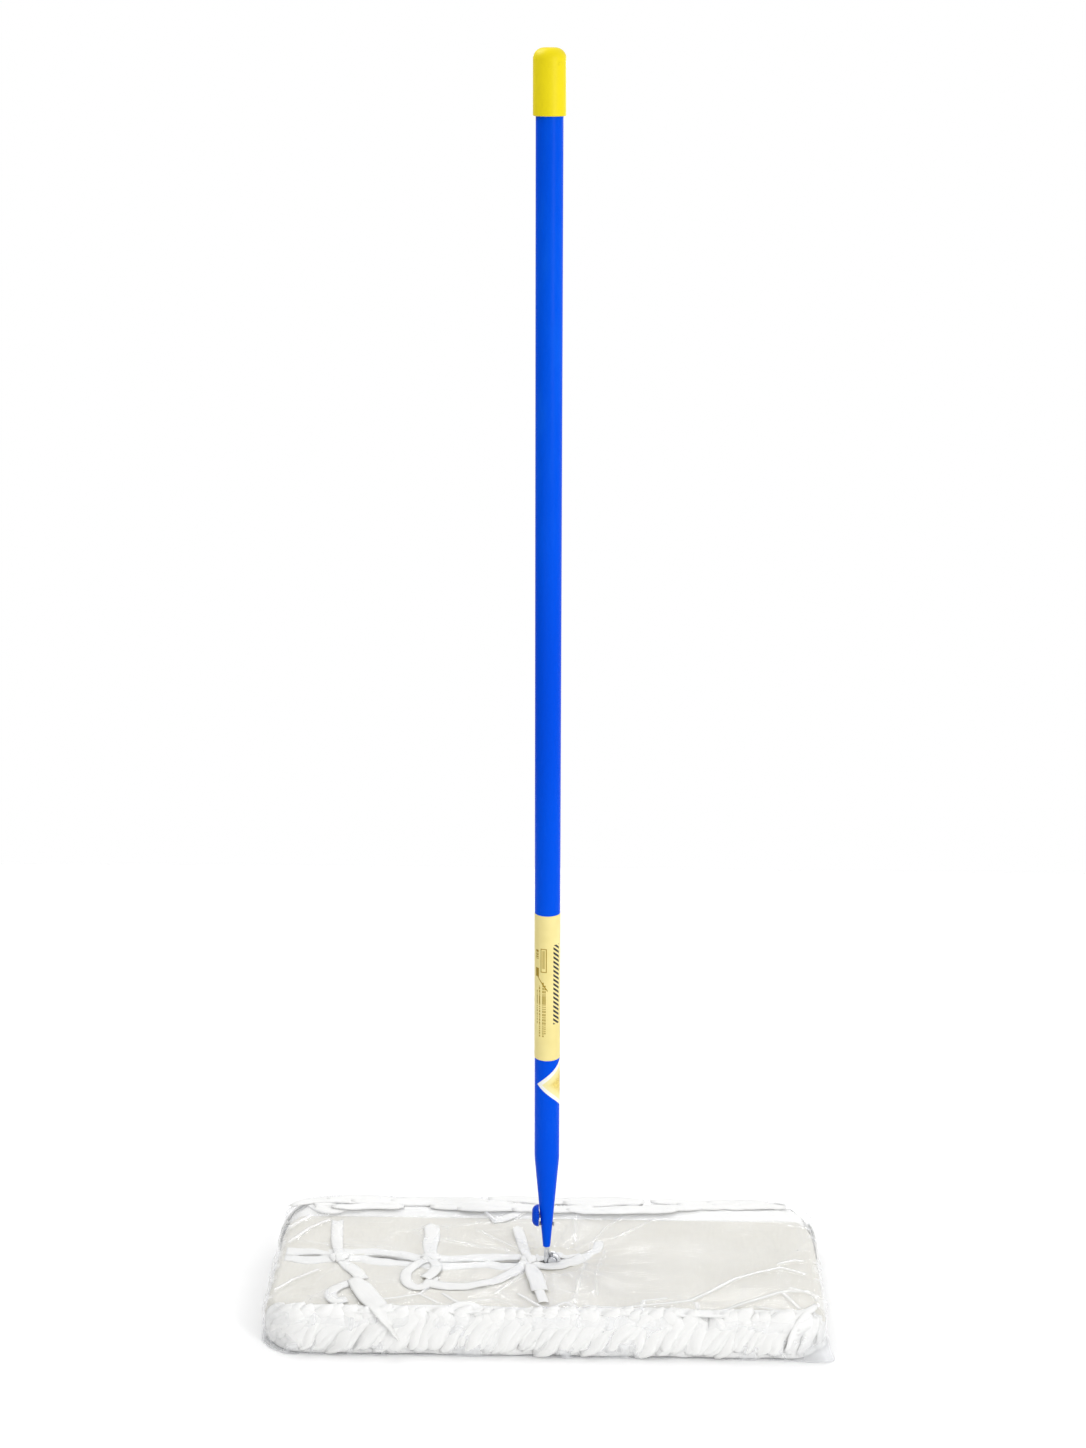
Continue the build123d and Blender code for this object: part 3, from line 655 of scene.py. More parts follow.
canvas_top = piece("pocket_canvas", *joined([canvas_half(-1), canvas_half(1)]))
finish_with(canvas_top, canvas_cotton)
merged = canvas_top.modifiers.new("sewn past the slit", "WELD")
merged.merge_threshold = 0.00001
thicken(canvas_top, canvas_thickness, -1)
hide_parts("pocket_top")
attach(canvas_top, "head")

backing_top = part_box("pocket_backing")[1][2] - 0.0002
columns, rows = 136, 52
xs, ys = np.meshgrid(np.linspace(-1, 1, columns), np.linspace(-1, 1, rows), indexing="ij")
over = np.maximum(np.abs(xs * pocket_half_length) - (pocket_half_length - pocket_corner), 0)
edge = pocket_half_width - pocket_corner + np.sqrt(np.maximum(pocket_corner ** 2 - over ** 2, 0))
backing_x, backing_y = xs * pocket_half_length, ys * edge
backing_z = backing_top + 0.0003 * cloth_noise(backing_x, backing_y, 0.03, 5)
backing_points = np.stack([backing_x, backing_y, backing_z], axis=2)
canvas_back = piece("pocket_back_canvas", backing_points.reshape(-1, 3), grid_faces(columns, rows))
thicken(canvas_back, canvas_thickness, -1)
finish_with(canvas_back, canvas_cotton)
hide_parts("pocket_backing")
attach(canvas_back, "head")

# ---------------------------------------------------------------- slit bindings
# Soft white cotton tape folded over each lip of the slit and sewn along it. It bows out round the
# knuckle, and the front one turns up and over the rear one at the slit's right end.

tape_width = 0.014
tape_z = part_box("rear_binding")[0][2]


def smooth_path(points, steps):
    """A smooth curve through given points, evenly stepped."""
    points = np.asarray(points, float)
    padded = np.concatenate([[2 * points[0] - points[1]], points, [2 * points[-1] - points[-2]]])
    curve = []
    for index in range(len(points) - 1):
        a, b, c, d = padded[index:index + 4]
        t = np.linspace(0, 1, 16, endpoint=False)[:, None]
        square, cube = 2 * a - 5 * b + 4 * c - d, 3 * b - a - 3 * c + d
        curve.append(0.5 * (2 * b + (c - a) * t + square * t ** 2 + cube * t ** 3))
    curve = np.concatenate(curve + [points[-1:]])
    run = np.concatenate([[0], np.cumsum(np.linalg.norm(np.diff(curve, axis=0), axis=1))])
    even = np.linspace(0, run[-1], steps)
    return np.stack([np.interp(even, run, curve[:, axis]) for axis in range(curve.shape[1])], axis=1)


def ribbon(path, widths, crown, twist=0.0, across=7, seed=0, point=0.0):
    """A strip of cloth along a path in space: points, faces and each point's place on the flat strip."""
    path = np.asarray(path, float)
    count = len(path)
    way = np.gradient(path, axis=0)
    way /= np.linalg.norm(way, axis=1)[:, None] + 1e-12
    up = np.tile((0.0, 0.0, 1.0), (count, 1))
    side = np.cross(up, way)
    side /= np.linalg.norm(side, axis=1)[:, None] + 1e-12
    lift = np.cross(way, side)
    angle = twist * np.linspace(0, 1, count)[:, None]
    side, lift = side * np.cos(angle) + lift * np.sin(angle), lift * np.cos(angle) - side * np.sin(angle)
    run = np.concatenate([[0], np.cumsum(np.linalg.norm(np.diff(path, axis=0), axis=1))])
    widths = np.broadcast_to(widths, count)
    c = np.linspace(-1, 1, across)
    wave = cloth_noise(run[:, None] * np.ones(across), c[None, :] * 0.01 * np.ones((count, 1)), 0.009, seed + 30)
    height = crown * (1 - np.abs(c[None, :]) ** 2.5) + 0.0005 * wave
    points = (path[:, None, :] + side[:, None, :] * (c[None, :, None] * widths[:, None, None] / 2)
              + lift[:, None, :] * height[..., None])
    sharpened = np.abs(c)[None, :, None] * -point * np.linspace(0, 1, count)[:, None, None] ** 8
    points = points + way[:, None, :] * sharpened
    flat = np.stack(np.broadcast_arrays(c[None, :] * widths[:, None] / 2, run[:, None]), axis=2).reshape(-1, 2)
    return points.reshape(-1, 3), grid_faces(count, across), flat


def cloth_piece(name, strips, material, thickness=0.0007, levels=0):
    """Strips of cloth as one piece, with each strip's flat place kept as its UVs."""
    points, faces = joined([(strip[0], strip[1]) for strip in strips])
    flats = np.concatenate([strip[2] + np.array((0.05 * index, 0.03 * index)) for index, strip in enumerate(strips)])
    made = piece(name, points, faces)
    layer = made.data.uv_layers.new(name="flat")
    order = np.empty(len(made.data.loops), dtype=int)
    made.data.loops.foreach_get("vertex_index", order)
    layer.data.foreach_set("uv", flats[order].astype(np.float32).ravel())
    if levels:
        round_off = made.modifiers.new("soft", "SUBSURF")
        round_off.levels = round_off.render_levels = levels
    if thickness:
        thicken(made, thickness, 1)
    finish_with(made, material)
    return made


tape_cotton = cotton("tape_cotton", (0.80, 0.80, 0.785, 1), (0.87, 0.87, 0.855, 1), 0.0006, 0.35, 0.25, by_surface=True)


def lip_path(side, start, end, steps=150):
    x = np.linspace(start, end, steps)
    fullness = 1 + 0.12 * np.sin(x * 95 + side)
    y = slit_bend(x) + side * (slit_gap(x, side) + tape_width / 2 * fullness)
    lift = (0.0024 if side < 0 else -0.0006) * np.exp(-((x - eye_x) / 0.014) ** 2)
    return np.stack([x, y, tape_z - 0.0002 + lift], axis=1), tape_width * fullness


def sew(path, widths, inset, pitch=0.0035):
    """Stitches along both sides of a strip's path, as small raised threads."""
    way = np.gradient(path, axis=0)
    way /= np.linalg.norm(way, axis=1)[:, None]
    side = np.cross((0, 0, 1.0), way)
    line = path + side * (widths[:, None] / 2 - inset)
    return stitches(line, pitch)


def stitches(line, pitch=0.0035, length=0.0024, thickness=0.00045):
    """A row of stitches along a line: each is a short rounded thread."""
    run = np.concatenate([[0], np.cumsum(np.linalg.norm(np.diff(line, axis=0), axis=1))])
    parts = []
    for middle in np.arange(pitch, run[-1] - pitch, pitch):
        a, b = [np.array([np.interp(middle + off * length / 2, run, line[:, axis]) for axis in range(3)])
                for off in (-1, 1)]
        way = (b - a) / np.linalg.norm(b - a)
        side = np.cross((0, 0, 1.0), way)
        side = side / np.linalg.norm(side)
        points, faces = [], []
        for share, fat in ((0, 0.2), (0.2, 0.9), (0.8, 0.9), (1, 0.2)):
            centre = a + (b - a) * share
            for turn in range(5):
                angle = 2 * math.pi * turn / 5
                out = side * math.cos(angle) + np.array((0, 0, 1.0)) * math.sin(angle)
                points.append(centre + out * thickness / 2 * fat)
        for ring in range(3):
            for turn in range(5):
                after = (turn + 1) % 5
                faces.append((ring * 5 + turn, ring * 5 + after, ring * 5 + 5 + after, ring * 5 + 5 + turn))
        faces.append(tuple(range(4, -1, -1)))
        faces.append(tuple(range(15, 20)))
        parts.append((np.array(points), faces))
    return joined(parts)


thread_white, shader = shaded("thread_white", Roughness=0.7, Sheen_Weight=0.3)
net = Net(thread_white.node_tree)
where = net.place()
ply = net.noise(where, 1500.0, 2.0)
net.join(net.mix(ply, (0.72, 0.71, 0.68, 1), (0.84, 0.83, 0.80, 1)), shader.inputs["Base Color"])
net.join(net.bump(ply, 0.4, 0.0002), shader.inputs["Normal"])

thread_lines = []
sewn_steps = 148
seam_inset = 0.0018
for name, side, end in (("front_binding", -1, 0.0435), ("rear_binding", 1, 0.046)):
    path, widths = lip_path(side, -pocket_half_length + 0.001, end)
    if side < 0:
        hook = smooth_path([path[-1], (0.0500, 0.026, tape_z + 0.0008), (0.0530, 0.034, tape_z + 0.0014),
                                 (0.0535, 0.042, tape_z + 0.0016)], 14)
        path = np.concatenate([path, hook[1:]])
        widths = np.concatenate([widths, np.linspace(widths[-1], 0.009, len(hook) - 1)])
    binding = cloth_piece(name + "_tape", [ribbon(path, widths, 0.0011, across=9, seed=side + 3)], tape_cotton)
    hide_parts(name)
    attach(binding, "head")
    sewn = path[:sewn_steps] + np.array((0, 0, 0.0012))
    for inset in (seam_inset, tape_width - seam_inset)[::side]:
        thread_lines.append(sew(sewn, widths[:sewn_steps], inset))

binding_thread = piece("binding_thread", *joined(thread_lines))
finish_with(binding_thread, thread_white)
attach(binding_thread, "head")

# ---------------------------------------------------------------- ties and linking tape
# Three pairs of white cotton tapes knotted across the slit. Their loose ends lie flat on the
# canvas, and a longer one runs from the middle knot to the right one.

tie_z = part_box("tie_left")[0][2]
tie_width = 0.0125


def knot(x, y, turn, size=0.0078, seed=0):
    """A pulled half-knot: two fat bands of tape over each other, as points, faces and flat places."""
    bands = []
    for lean, fat, low in ((turn, 1.0, 0.0), (turn + 1.25, 0.92, 0.0008), (turn - 0.7, 0.7, 0.0012)):
        t = np.linspace(-1, 1, 15)
        along = np.array((math.cos(lean), math.sin(lean)))
        reach = size * 1.15
        path = np.stack([x + along[0] * t * reach, y + along[1] * t * reach,
                         tie_z + low + 0.0026 * fat * np.sqrt(np.clip(1 - t ** 2, 0, 1)) - 0.0006], axis=1)
        widths = 0.0108 * fat * (0.78 + 0.22 * np.abs(t))
        bands.append(ribbon(path, widths, 0.0012, across=9, seed=seed + int(10 * fat)))
    return bands


def tail(points, seed, start=tie_width * 0.75, end=tie_width, lift=0.0, point=0.0, crown=0.0006, steps=30):
    """A loose tape end lying on the canvas through given points."""
    flat = smooth_path(points, steps)
    if flat.shape[1] == 2:
        flat = np.concatenate([flat, np.zeros((len(flat), 1))], axis=1)
    bed = np.maximum(canvas_height(flat[:, 0], flat[:, 1]) + 0.0009, tie_z - 0.0011)
    height = bed + lift + 0.0009 * (1 + cloth_noise(flat[:, 0], flat[:, 1], 0.016, seed)) + flat[:, 2]
    path = np.stack([flat[:, 0], flat[:, 1], height], axis=1)
    share = np.linspace(0, 1, steps)
    widths = start + (end - start) * ease(share * 2.2)
    return ribbon(path, widths, crown, across=7, seed=seed, point=point)


def spill(points, widths, seed, steps=40):
    """A wide folded tape end that runs off the canvas and down over the fringe."""
    path = smooth_path(points, steps)
    widths = np.interp(np.linspace(0, 1, steps), np.linspace(0, 1, len(widths)), widths)
    return ribbon(path, widths, 0.0008, across=9, seed=seed)


left_tie = cloth_piece("left_tie_tape", knot(-0.2130, 0.0040, 0.6, seed=1) + [
    tail([(-0.213, 0.008), (-0.218, 0.030), (-0.2205, 0.055), (-0.2225, 0.078)], 41, point=-0.006),
    tail([(-0.211, -0.002), (-0.203, -0.014), (-0.192, -0.030), (-0.185, -0.043)], 42, end=0.014),
    spill([(-0.194, -0.044, 0.0450), (-0.186, -0.058, 0.0452), (-0.174, -0.082, 0.0456), (-0.163, -0.103, 0.0466),
           (-0.156, -0.1125, 0.0400), (-0.149, -0.1145, 0.0270), (-0.1435, -0.1140, 0.0170)],
          (0.013, 0.021, 0.023, 0.022, 0.018, 0.012, 0.005), 43),
    tail([(-0.193, -0.047), (-0.206, -0.058), (-0.214, -0.072), (-0.208, -0.086), (-0.197, -0.082)], 44,
         start=0.010, end=0.012, lift=0.0004),
], tape_cotton)

middle_tie = cloth_piece("middle_tie_tape", knot(-0.1190, 0.0040, 1.3, seed=4) + [
    tail([(-0.119, 0.008), (-0.1215, 0.030), (-0.1205, 0.050), (-0.1240, 0.076)], 45,
         start=0.012, end=0.0165, point=0.007),
    tail([(-0.121, 0.000), (-0.133, -0.012), (-0.1415, -0.030), (-0.139, -0.050), (-0.128, -0.060),
          (-0.117, -0.050), (-0.113, -0.036)], 46, end=0.0115, steps=48, lift=0.0006),
    tail([(-0.117, -0.002), (-0.112, -0.014), (-0.114, -0.030), (-0.122, -0.042)], 47, end=0.012, lift=0.0016),
], tape_cotton)

right_tie = cloth_piece("right_tie_tape", knot(-0.0185, 0.0040, 0.9, size=0.0066, seed=7) + [
    tail([(-0.0195, 0.008), (-0.024, 0.026), (-0.0285, 0.048), (-0.0335, 0.070)], 48,
         start=0.0095, end=0.011, point=0.008),
    tail([(-0.017, -0.008), (-0.0145, -0.022), (-0.009, -0.044), (-0.0055, -0.064)], 49,
         start=0.0105, end=0.0165, lift=0.0012),
    tail([(-0.009, -0.052), (-0.005, -0.068), (-0.001, -0.086)], 50, start=0.008, end=0.010, lift=0.0006),
], tape_cotton)

link = cloth_piece("linking_tape", [
    tail([(-0.122, -0.047), (-0.104, -0.054), (-0.086, -0.0555), (-0.070, -0.052), (-0.052, -0.043),
          (-0.036, -0.028), (-0.026, -0.013), (-0.020, 0.000)], 51, start=0.015, end=0.0125, steps=60, lift=0.0002),
], tape_cotton)
for made, node, length, held in (
        (left_tie, "tie_left", 0.36, "folded"), (middle_tie, "tie_middle", 0.34, "folded"),
        (right_tie, "tie_right", 0.24, "folded"), (link, "link_tape", 0.13, "laid")):
    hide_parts(node)
    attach(made, "head")

# ---------------------------------------------------------------- cotton pad and fringe
# Rows of soft white cotton strips are sewn under the pocket. They fill it out below and stand round
# its edge as a thick lumpy fringe, pressed flat by the bag and combed towards the left.

pad_low, pad_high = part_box("fringe_pad")
front_depth = -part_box("front_fringe")[0][1] - pocket_half_width
rear_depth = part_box("rear_fringe")[1][1] - pocket_half_width
side_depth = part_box("right_fringe")[1][0] - pocket_half_length
fringe_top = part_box("front_fringe")[1][2]
rear_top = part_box("rear_fringe")[1][2]

straight_x = 2 * (pocket_half_length - pocket_corner)
straight_y = 2 * (pocket_half_width - pocket_corner)
quarter = math.pi * pocket_corner / 2
round_trip = 2 * straight_x + 2 * straight_y + 4 * quarter


def edge_place(run):
    """The place and the outward way on the pocket's edge, a distance round it from the front left corner."""
    legs = (straight_x, quarter, straight_y, quarter, straight_x, quarter, straight_y, quarter)
    heading, centre = 0.0, np.array((-straight_x / 2, -pocket_half_width))
    place = centre.copy()
    run = run % round_trip
    for index, leg in enumerate(legs):
        part = min(run, leg)
        way = np.array((math.cos(heading), math.sin(heading)))
        outward = np.array((way[1], -way[0]))
        if index % 2 == 0:
            place = place + way * part
        else:
            hub = place - outward * pocket_corner
            heading += part / pocket_corner
            way = np.array((math.cos(heading), math.sin(heading)))
            outward = np.array((way[1], -way[0]))
            place = hub + outward * pocket_corner
        run -= part
        if run <= 0:
            break
    return place, outward


def fringe_size(outward):
    """How deep and how high the fringe stands where the edge faces this way."""
    front = max(0.0, -outward[1]) ** 1.5
    rear = max(0.0, outward[1]) ** 1.5
    slim = 0.75 * side_depth
    depth = slim + (front_depth - slim) * front + (rear_depth - slim) * rear
    side_top = pocket_seam_z
    return depth, side_top + (fringe_top - side_top) * front + (rear_top - side_top) * rear, 0.0095 * (front + rear)


def fringe_profile(t, depth, top, inboard, fullness):
    """A place across the fringe: t is 0 on the canvas, about 0.2 on the shoulder and 1 at the floor."""
    turn = np.clip((t - 0.12) / 0.62, 0, 1) * math.pi / 2
    out = depth * fullness * np.sin(turn) ** 0.62 - inboard * np.clip(1 - t / 0.12, 0, 1)
    drop = np.clip((t - 0.74) / 0.26, 0, 1)
    settled = 0.3 * top
    height = np.where(t < 0.74, settled + (top - settled) * np.cos(turn) ** 0.62, settled * (1 - drop) + 0.0015 * drop)
    inner = ease(1 - t / 0.16) * min(1.0, inboard / 0.004)
    return out, height * (1 - inner) + (canvas_z + 0.0010) * inner


def fringe_strip(run, width, lean, fullness, end, seed, begin=0.0):
    """One strip of the fringe: it comes over the canvas's edge, leans along it and ends in a point."""
    steps, across = 15, 6
    draw = np.random.default_rng(seed)
    outward = edge_place(run)[1]
    t = np.linspace(begin, end, steps)
    wobble = draw.uniform(-1, 1, 3)
    centre = []
    for share in t:
        shift = -lean * max(0.0, share - 0.1) ** 1.2 + 0.004 * wobble[0] * math.sin(share * 5 + wobble[1] * 3)
        here, face_out = edge_place(run + shift)
        out, height = fringe_profile(np.array(share), *fringe_size(face_out), fullness)
        centre.append((here[0] + face_out[0] * out, here[1] + face_out[1] * out, height))
    centre = np.array(centre)
    along = np.gradient(centre, axis=0)
    along /= np.linalg.norm(along, axis=1)[:, None] + 1e-9
    normal = np.stack([np.full(steps, outward[0]), np.full(steps, outward[1]), np.full(steps, 0.6)], axis=1)
    side = np.cross(normal, along)
    side /= np.linalg.norm(side, axis=1)[:, None] + 1e-9
    normal = np.cross(along, side)
    share = np.linspace(0, 1, steps)
    widths = width * (0.75 + 0.25 * ease(share * 3)) * np.clip((1.02 - share) / 0.30, 0.08, 1) ** 0.6
    c = np.linspace(-1, 1, across)
    bulge = 0.0021 * ease(share * 4)[:, None] * (1 - c[None, :] ** 2) * np.clip(widths[:, None] / width, 0, 1)
    curl = 0.0010 * np.sin(c[None, :] * 2.2 + wobble[2] * 3 + share[:, None] * 4)
    points = (centre[:, None, :] + side[:, None, :] * (c[None, :, None] * widths[:, None, None] / 2)
              + normal[:, None, :] * (bulge + curl)[..., None])
    points[..., 2] = np.maximum(points[..., 2], 0.0012)
    flat = np.stack(np.broadcast_arrays(c[None, :] * widths[:, None] / 2, share[:, None] * 0.07), axis=2).reshape(-1, 2)
    return points.reshape(-1, 3), grid_faces(steps, across), flat


def fringe_bed(start, end, steps, seed):
    """The thick lumpy mass behind the strips."""
    rows = 22
    points, flats = [], []
    for run in np.linspace(start, end, steps):
        place, outward = edge_place(run)
        t = np.linspace(0, 1, rows)
        out, height = fringe_profile(t, *fringe_size(outward), 0.98 if outward[1] > 0.5 else 0.90)
        lump = 0.0013 * cloth_noise(np.full(rows, run) + 0.4 * height, height, 0.014, seed) * ease(t * 5)
        out = out + lump
        height = np.maximum(height - (0.0 if outward[1] > 0.5 else 0.0010) + 0.5 * lump, 0.0012)
        points.append(np.stack([place[0] + outward[0] * out, place[1] + outward[1] * out, height], axis=1))
        flats.append(np.stack([t * 0.07, np.full(rows, run)], axis=1))
    return np.concatenate(points), grid_faces(steps, rows), np.concatenate(flats)


fringe_cotton = cotton("fringe_cotton", (0.85, 0.85, 0.835, 1), (0.90, 0.90, 0.89, 1), 0.0009, 0.4, 0.35,
                       by_surface=True)

front_end = straight_x + quarter * 0.72
right_end = front_end + quarter * 0.56 + straight_y
rear_end = right_end + quarter * 1.44 + straight_x
left_end = rear_end + quarter * 0.56 + straight_y
sides = (("front_fringe", left_end - round_trip, front_end, 44), ("right_fringe", front_end, right_end, 15),
         ("rear_fringe", right_end, rear_end, 36), ("left_fringe", rear_end, left_end, 15))


def lying_fold(start, end, out, height, width, seed, crown=0.0020):
    """A strip that lies along the edge on top of the others; out and height are given at its two ends."""
    steps = max(8, int((end - start) / 0.006))
    share = np.linspace(0, 1, steps)
    path = []
    for run, part in zip(np.linspace(start, end, steps), share):
        place, outward = edge_place(run)
        off = out[0] + (out[1] - out[0]) * part + 0.0012 * math.sin(part * 9 + seed)
        path.append((place[0] + outward[0] * off, place[1] + outward[1] * off,
                     height[0] + (height[1] - height[0]) * part))
    widths = width * (0.35 + 0.65 * np.sin(np.clip(share * 1.02, 0, 1) * math.pi) ** 0.45)
    return ribbon(np.array(path), widths, crown, across=8, seed=seed)


def loose_end(points, steps, widths, crown, seed):
    """A strip's loose end that lies on the canvas through given points."""
    return ribbon(smooth_path(points, steps), widths, crown, across=8, seed=seed)


def extra_folds(name, start, end):
    """Strips that lie along the long edges, and the loose ends that show on the canvas."""
    draw = np.random.default_rng(len(name) * 7)
    folds = []
    if name == "rear_fringe":
        for index in range(20):
            run = start + 0.02 + (end - start - 0.10) * (index + draw.uniform(-0.4, 0.4)) / 20
            out = 0.003 + 0.021 * draw.random()
            folds.append(lying_fold(run, run + draw.uniform(0.06, 0.12), (out, out + draw.uniform(-0.006, 0.006)),
                                    (rear_top + 0.0008, rear_top + 0.0008), draw.uniform(0.012, 0.019),
                                    300 + index, 0.0012))
        folds.append(loose_end([(-0.254, 0.116, 0.0450), (-0.242, 0.104, 0.0448), (-0.228, 0.101, 0.0450),
                                (-0.216, 0.108, 0.0455)], 16, 0.014, 0.0018, 61))
        folds.append(loose_end([(-0.250, 0.108, 0.0462), (-0.236, 0.112, 0.0460), (-0.220, 0.104, 0.0452),
                                (-0.205, 0.112, 0.0455)], 16, 0.011, 0.0016, 62))
        folds.append(loose_end([(-0.060, 0.084, 0.0432), (-0.044, 0.092, 0.0440), (-0.028, 0.104, 0.0456),
                                (-0.012, 0.112, 0.0458)], 18, np.linspace(0.013, 0.010, 18), 0.0010, 63))
    if name == "front_fringe":
        for index in range(15):
            run = start + 0.03 + (end - start - 0.12) * (index + draw.uniform(-0.3, 0.3)) / 15
            folds.append(lying_fold(run, run + draw.uniform(0.09, 0.15), (-0.0030 + 0.002 * draw.random(), -0.0015),
                                    (0.0441, 0.0440), draw.uniform(0.011, 0.015), 400 + index, 0.0012))
        folds.append(loose_end([(-0.092, -0.108, 0.0425), (-0.089, -0.098, 0.0446), (-0.078, -0.0935, 0.0450),
                                (-0.067, -0.098, 0.0446), (-0.063, -0.109, 0.0425)], 24, 0.012, 0.0018, 64))
    return folds


for order, (name, start, end, count) in enumerate(sides):
    draw = np.random.default_rng(100 + order)
    strips = [fringe_bed(start - 0.002, end + 0.002, int((end - start) / 0.004), 60 + order)]
    layers = ((0, 0.84), (1, 0.90)) if name == "rear_fringe" else ((0, 0.88), (1, 0.95))
    for layer, fullness in layers:
        for index in range(count):
            run = start + (index + 0.5 + draw.uniform(-0.35, 0.35)) * (end - start) / count
            facing = edge_place(run)[1]
            lean = draw.uniform(0.016, 0.052) if facing[1] < 0.3 else -draw.uniform(0.030, 0.085)
            strips.append(fringe_strip(run + lean * 0.5, draw.uniform(0.014, 0.025), lean,
                                       fullness + draw.uniform(-0.03, 0.03),
                                       draw.uniform(0.80, 1.0) if layer else draw.uniform(0.72, 0.95),
                                       1000 * order + 200 * layer + index, 0.40 if facing[1] > -0.3 else 0.13))
    strips += extra_folds(name, start, end)
    side_fringe = cloth_piece(name + "_strips", strips, fringe_cotton, thickness=0.0006)
    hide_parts(name)
    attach(side_fringe, "head")

# The pad below: rows of strips side by side, seen from underneath
pad_rows = 34
rows_parts = []
draw = np.random.default_rng(77)
for index in range(pad_rows):
    y = (index + 0.5) / pad_rows * 2 - 1
    half = pocket_half_width - 0.006
    inset = 0.006 + 0.02 * max(0.0, abs(y) - 0.75)
    x = np.linspace(-pocket_half_length + inset, pocket_half_length - inset, 150)
    ys_row = y * half + 0.0012 * cloth_noise(x, x * 0 + index, 0.02, 80)
    zs_row = pad_low[2] + 0.0020 + 0.0012 * (1 + cloth_noise(x, x * 0 + index * 3.1, 0.012, 81)) / 2
    path = np.stack([x, ys_row, zs_row], axis=1)
    rows_parts.append(ribbon(path, 0.0078, -0.0020, across=6, seed=index))
pad_underside = cloth_piece("pad_strips", rows_parts, fringe_cotton, thickness=0.0006)
xs, ys = np.meshgrid(np.linspace(-1, 1, 110), np.linspace(-1, 1, 42), indexing="ij")
px, py = xs * (pocket_half_length - 0.003), ys * (pocket_half_width - 0.003)
depth = np.clip(inside_edge(px, py, pocket_half_length, pocket_half_width, pocket_corner), 0, None)
fill_top = pad_high[2] - 0.0006 - 0.004 * np.exp(-depth / 0.004)
fill_low = pad_low[2] + 0.0045 + 0.006 * np.exp(-depth / 0.006)
top_points = np.stack([px, py, fill_top + 0.0003 * cloth_noise(px, py, 0.02, 6)], axis=2).reshape(-1, 3)
low_points = np.stack([px, py, fill_low + 0.0006 * cloth_noise(px, py, 0.012, 7)], axis=2).reshape(-1, 3)
pad_faces = grid_faces(110, 42)
pad_body = piece("pad_filling", *joined([(top_points, pad_faces), (low_points, [face[::-1] for face in pad_faces])]))
finish_with(pad_body, cotton("filling_cotton", (0.84, 0.84, 0.82, 1), (0.90, 0.90, 0.88, 1), 0.0011, 0.6, 0.3))
for made in (pad_underside, pad_body):
    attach(made, "head")
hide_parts("fringe_pad")

# ---------------------------------------------------------------- clear bag
# A bag of thin clear film drawn over the whole head and gathered round the handle. It lies on the
# knots and strips, creases between them, and stands off in a loose flap at the front right corner.

bag_low, bag_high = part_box("clear_bag")
bag_half_length = bag_high[0] - 0.0004
bag_front, bag_rear = bag_low[1] + 0.0004, bag_high[1] - 0.0004
bag_top = bag_high[2] - 0.0006
bag_corner = 0.040
neck_half_length = 0.0330
neck_half_width = 0.0280

creases = (
    ((0.040, -0.092), (0.074, -0.096), (0.110, -0.087), (0.144, -0.078)),
    ((0.144, -0.078), (0.165, -0.060), (0.191, -0.034), (0.215, -0.020), (0.238, -0.010)),
    ((0.238, -0.002), (0.254, 0.006), (0.262, 0.004)),
    ((-0.170, -0.086), (-0.145, -0.080), (-0.125, -0.072), (-0.118, -0.060)),
    ((-0.125, -0.072), (-0.105, -0.090)), ((-0.102, -0.070), (-0.085, -0.090)),
    ((-0.026, -0.070), (-0.010, -0.088), (0.004, -0.100)), ((0.004, -0.100), (0.020, -0.086), (0.032, -0.094)),
    ((-0.272, -0.070), (-0.255, -0.045), (-0.232, -0.025)),
    ((-0.268, 0.030), (-0.250, 0.062), (-0.232, 0.080)), ((-0.272, 0.060), (-0.252, 0.090)),
    ((0.170, -0.100), (0.200, -0.080), (0.236, -0.060), (0.262, -0.058)), ((0.236, -0.060), (0.252, -0.090)),
    ((0.238, -0.010), (0.262, -0.022)), ((0.246, -0.052), (0.268, -0.064), (0.272, -0.080)),
    ((0.210, -0.088), (0.238, -0.096)), ((0.095, -0.100), (0.098, -0.080), (0.120, -0.074)),
    ((0.150, -0.082), (0.152, -0.100)), ((-0.055, 0.082), (-0.075, 0.110)),
)
neck_creases = (
    ((0.045, 0.030), (0.040, 0.000), (0.034, -0.040), (0.030, -0.090)),
    ((0.060, 0.020), (0.050, -0.030), (0.052, -0.070)),
    ((0.030, 0.040), (0.028, 0.080), (0.030, 0.120)), ((0.046, 0.034), (0.060, 0.070), (0.095, 0.120)),
    ((0.070, 0.048), (0.110, 0.090)), ((-0.030, 0.020), (-0.070, 0.060)), ((-0.020, -0.024), (-0.050, -0.070)),
)


def crease_height(lines, x, y, width):
    """Sharp ridges, from 0 to 1, along the listed creases."""
    total = np.zeros_like(x)
    for line in lines:
        best = np.full_like(x, 9.0)
        for (ax, ay), (bx, by) in zip(line[:-1], line[1:]):
            share = np.clip(((x - ax) * (bx - ax) + (y - ay) * (by - ay)) / ((bx - ax) ** 2 + (by - ay) ** 2), 0, 1)
            best = np.minimum(best, np.hypot(x - ax - share * (bx - ax), y - ay - share * (by - ay)))
        total = np.maximum(total, np.clip(1 - best / width, 0, 1) ** 1.3)
    return total


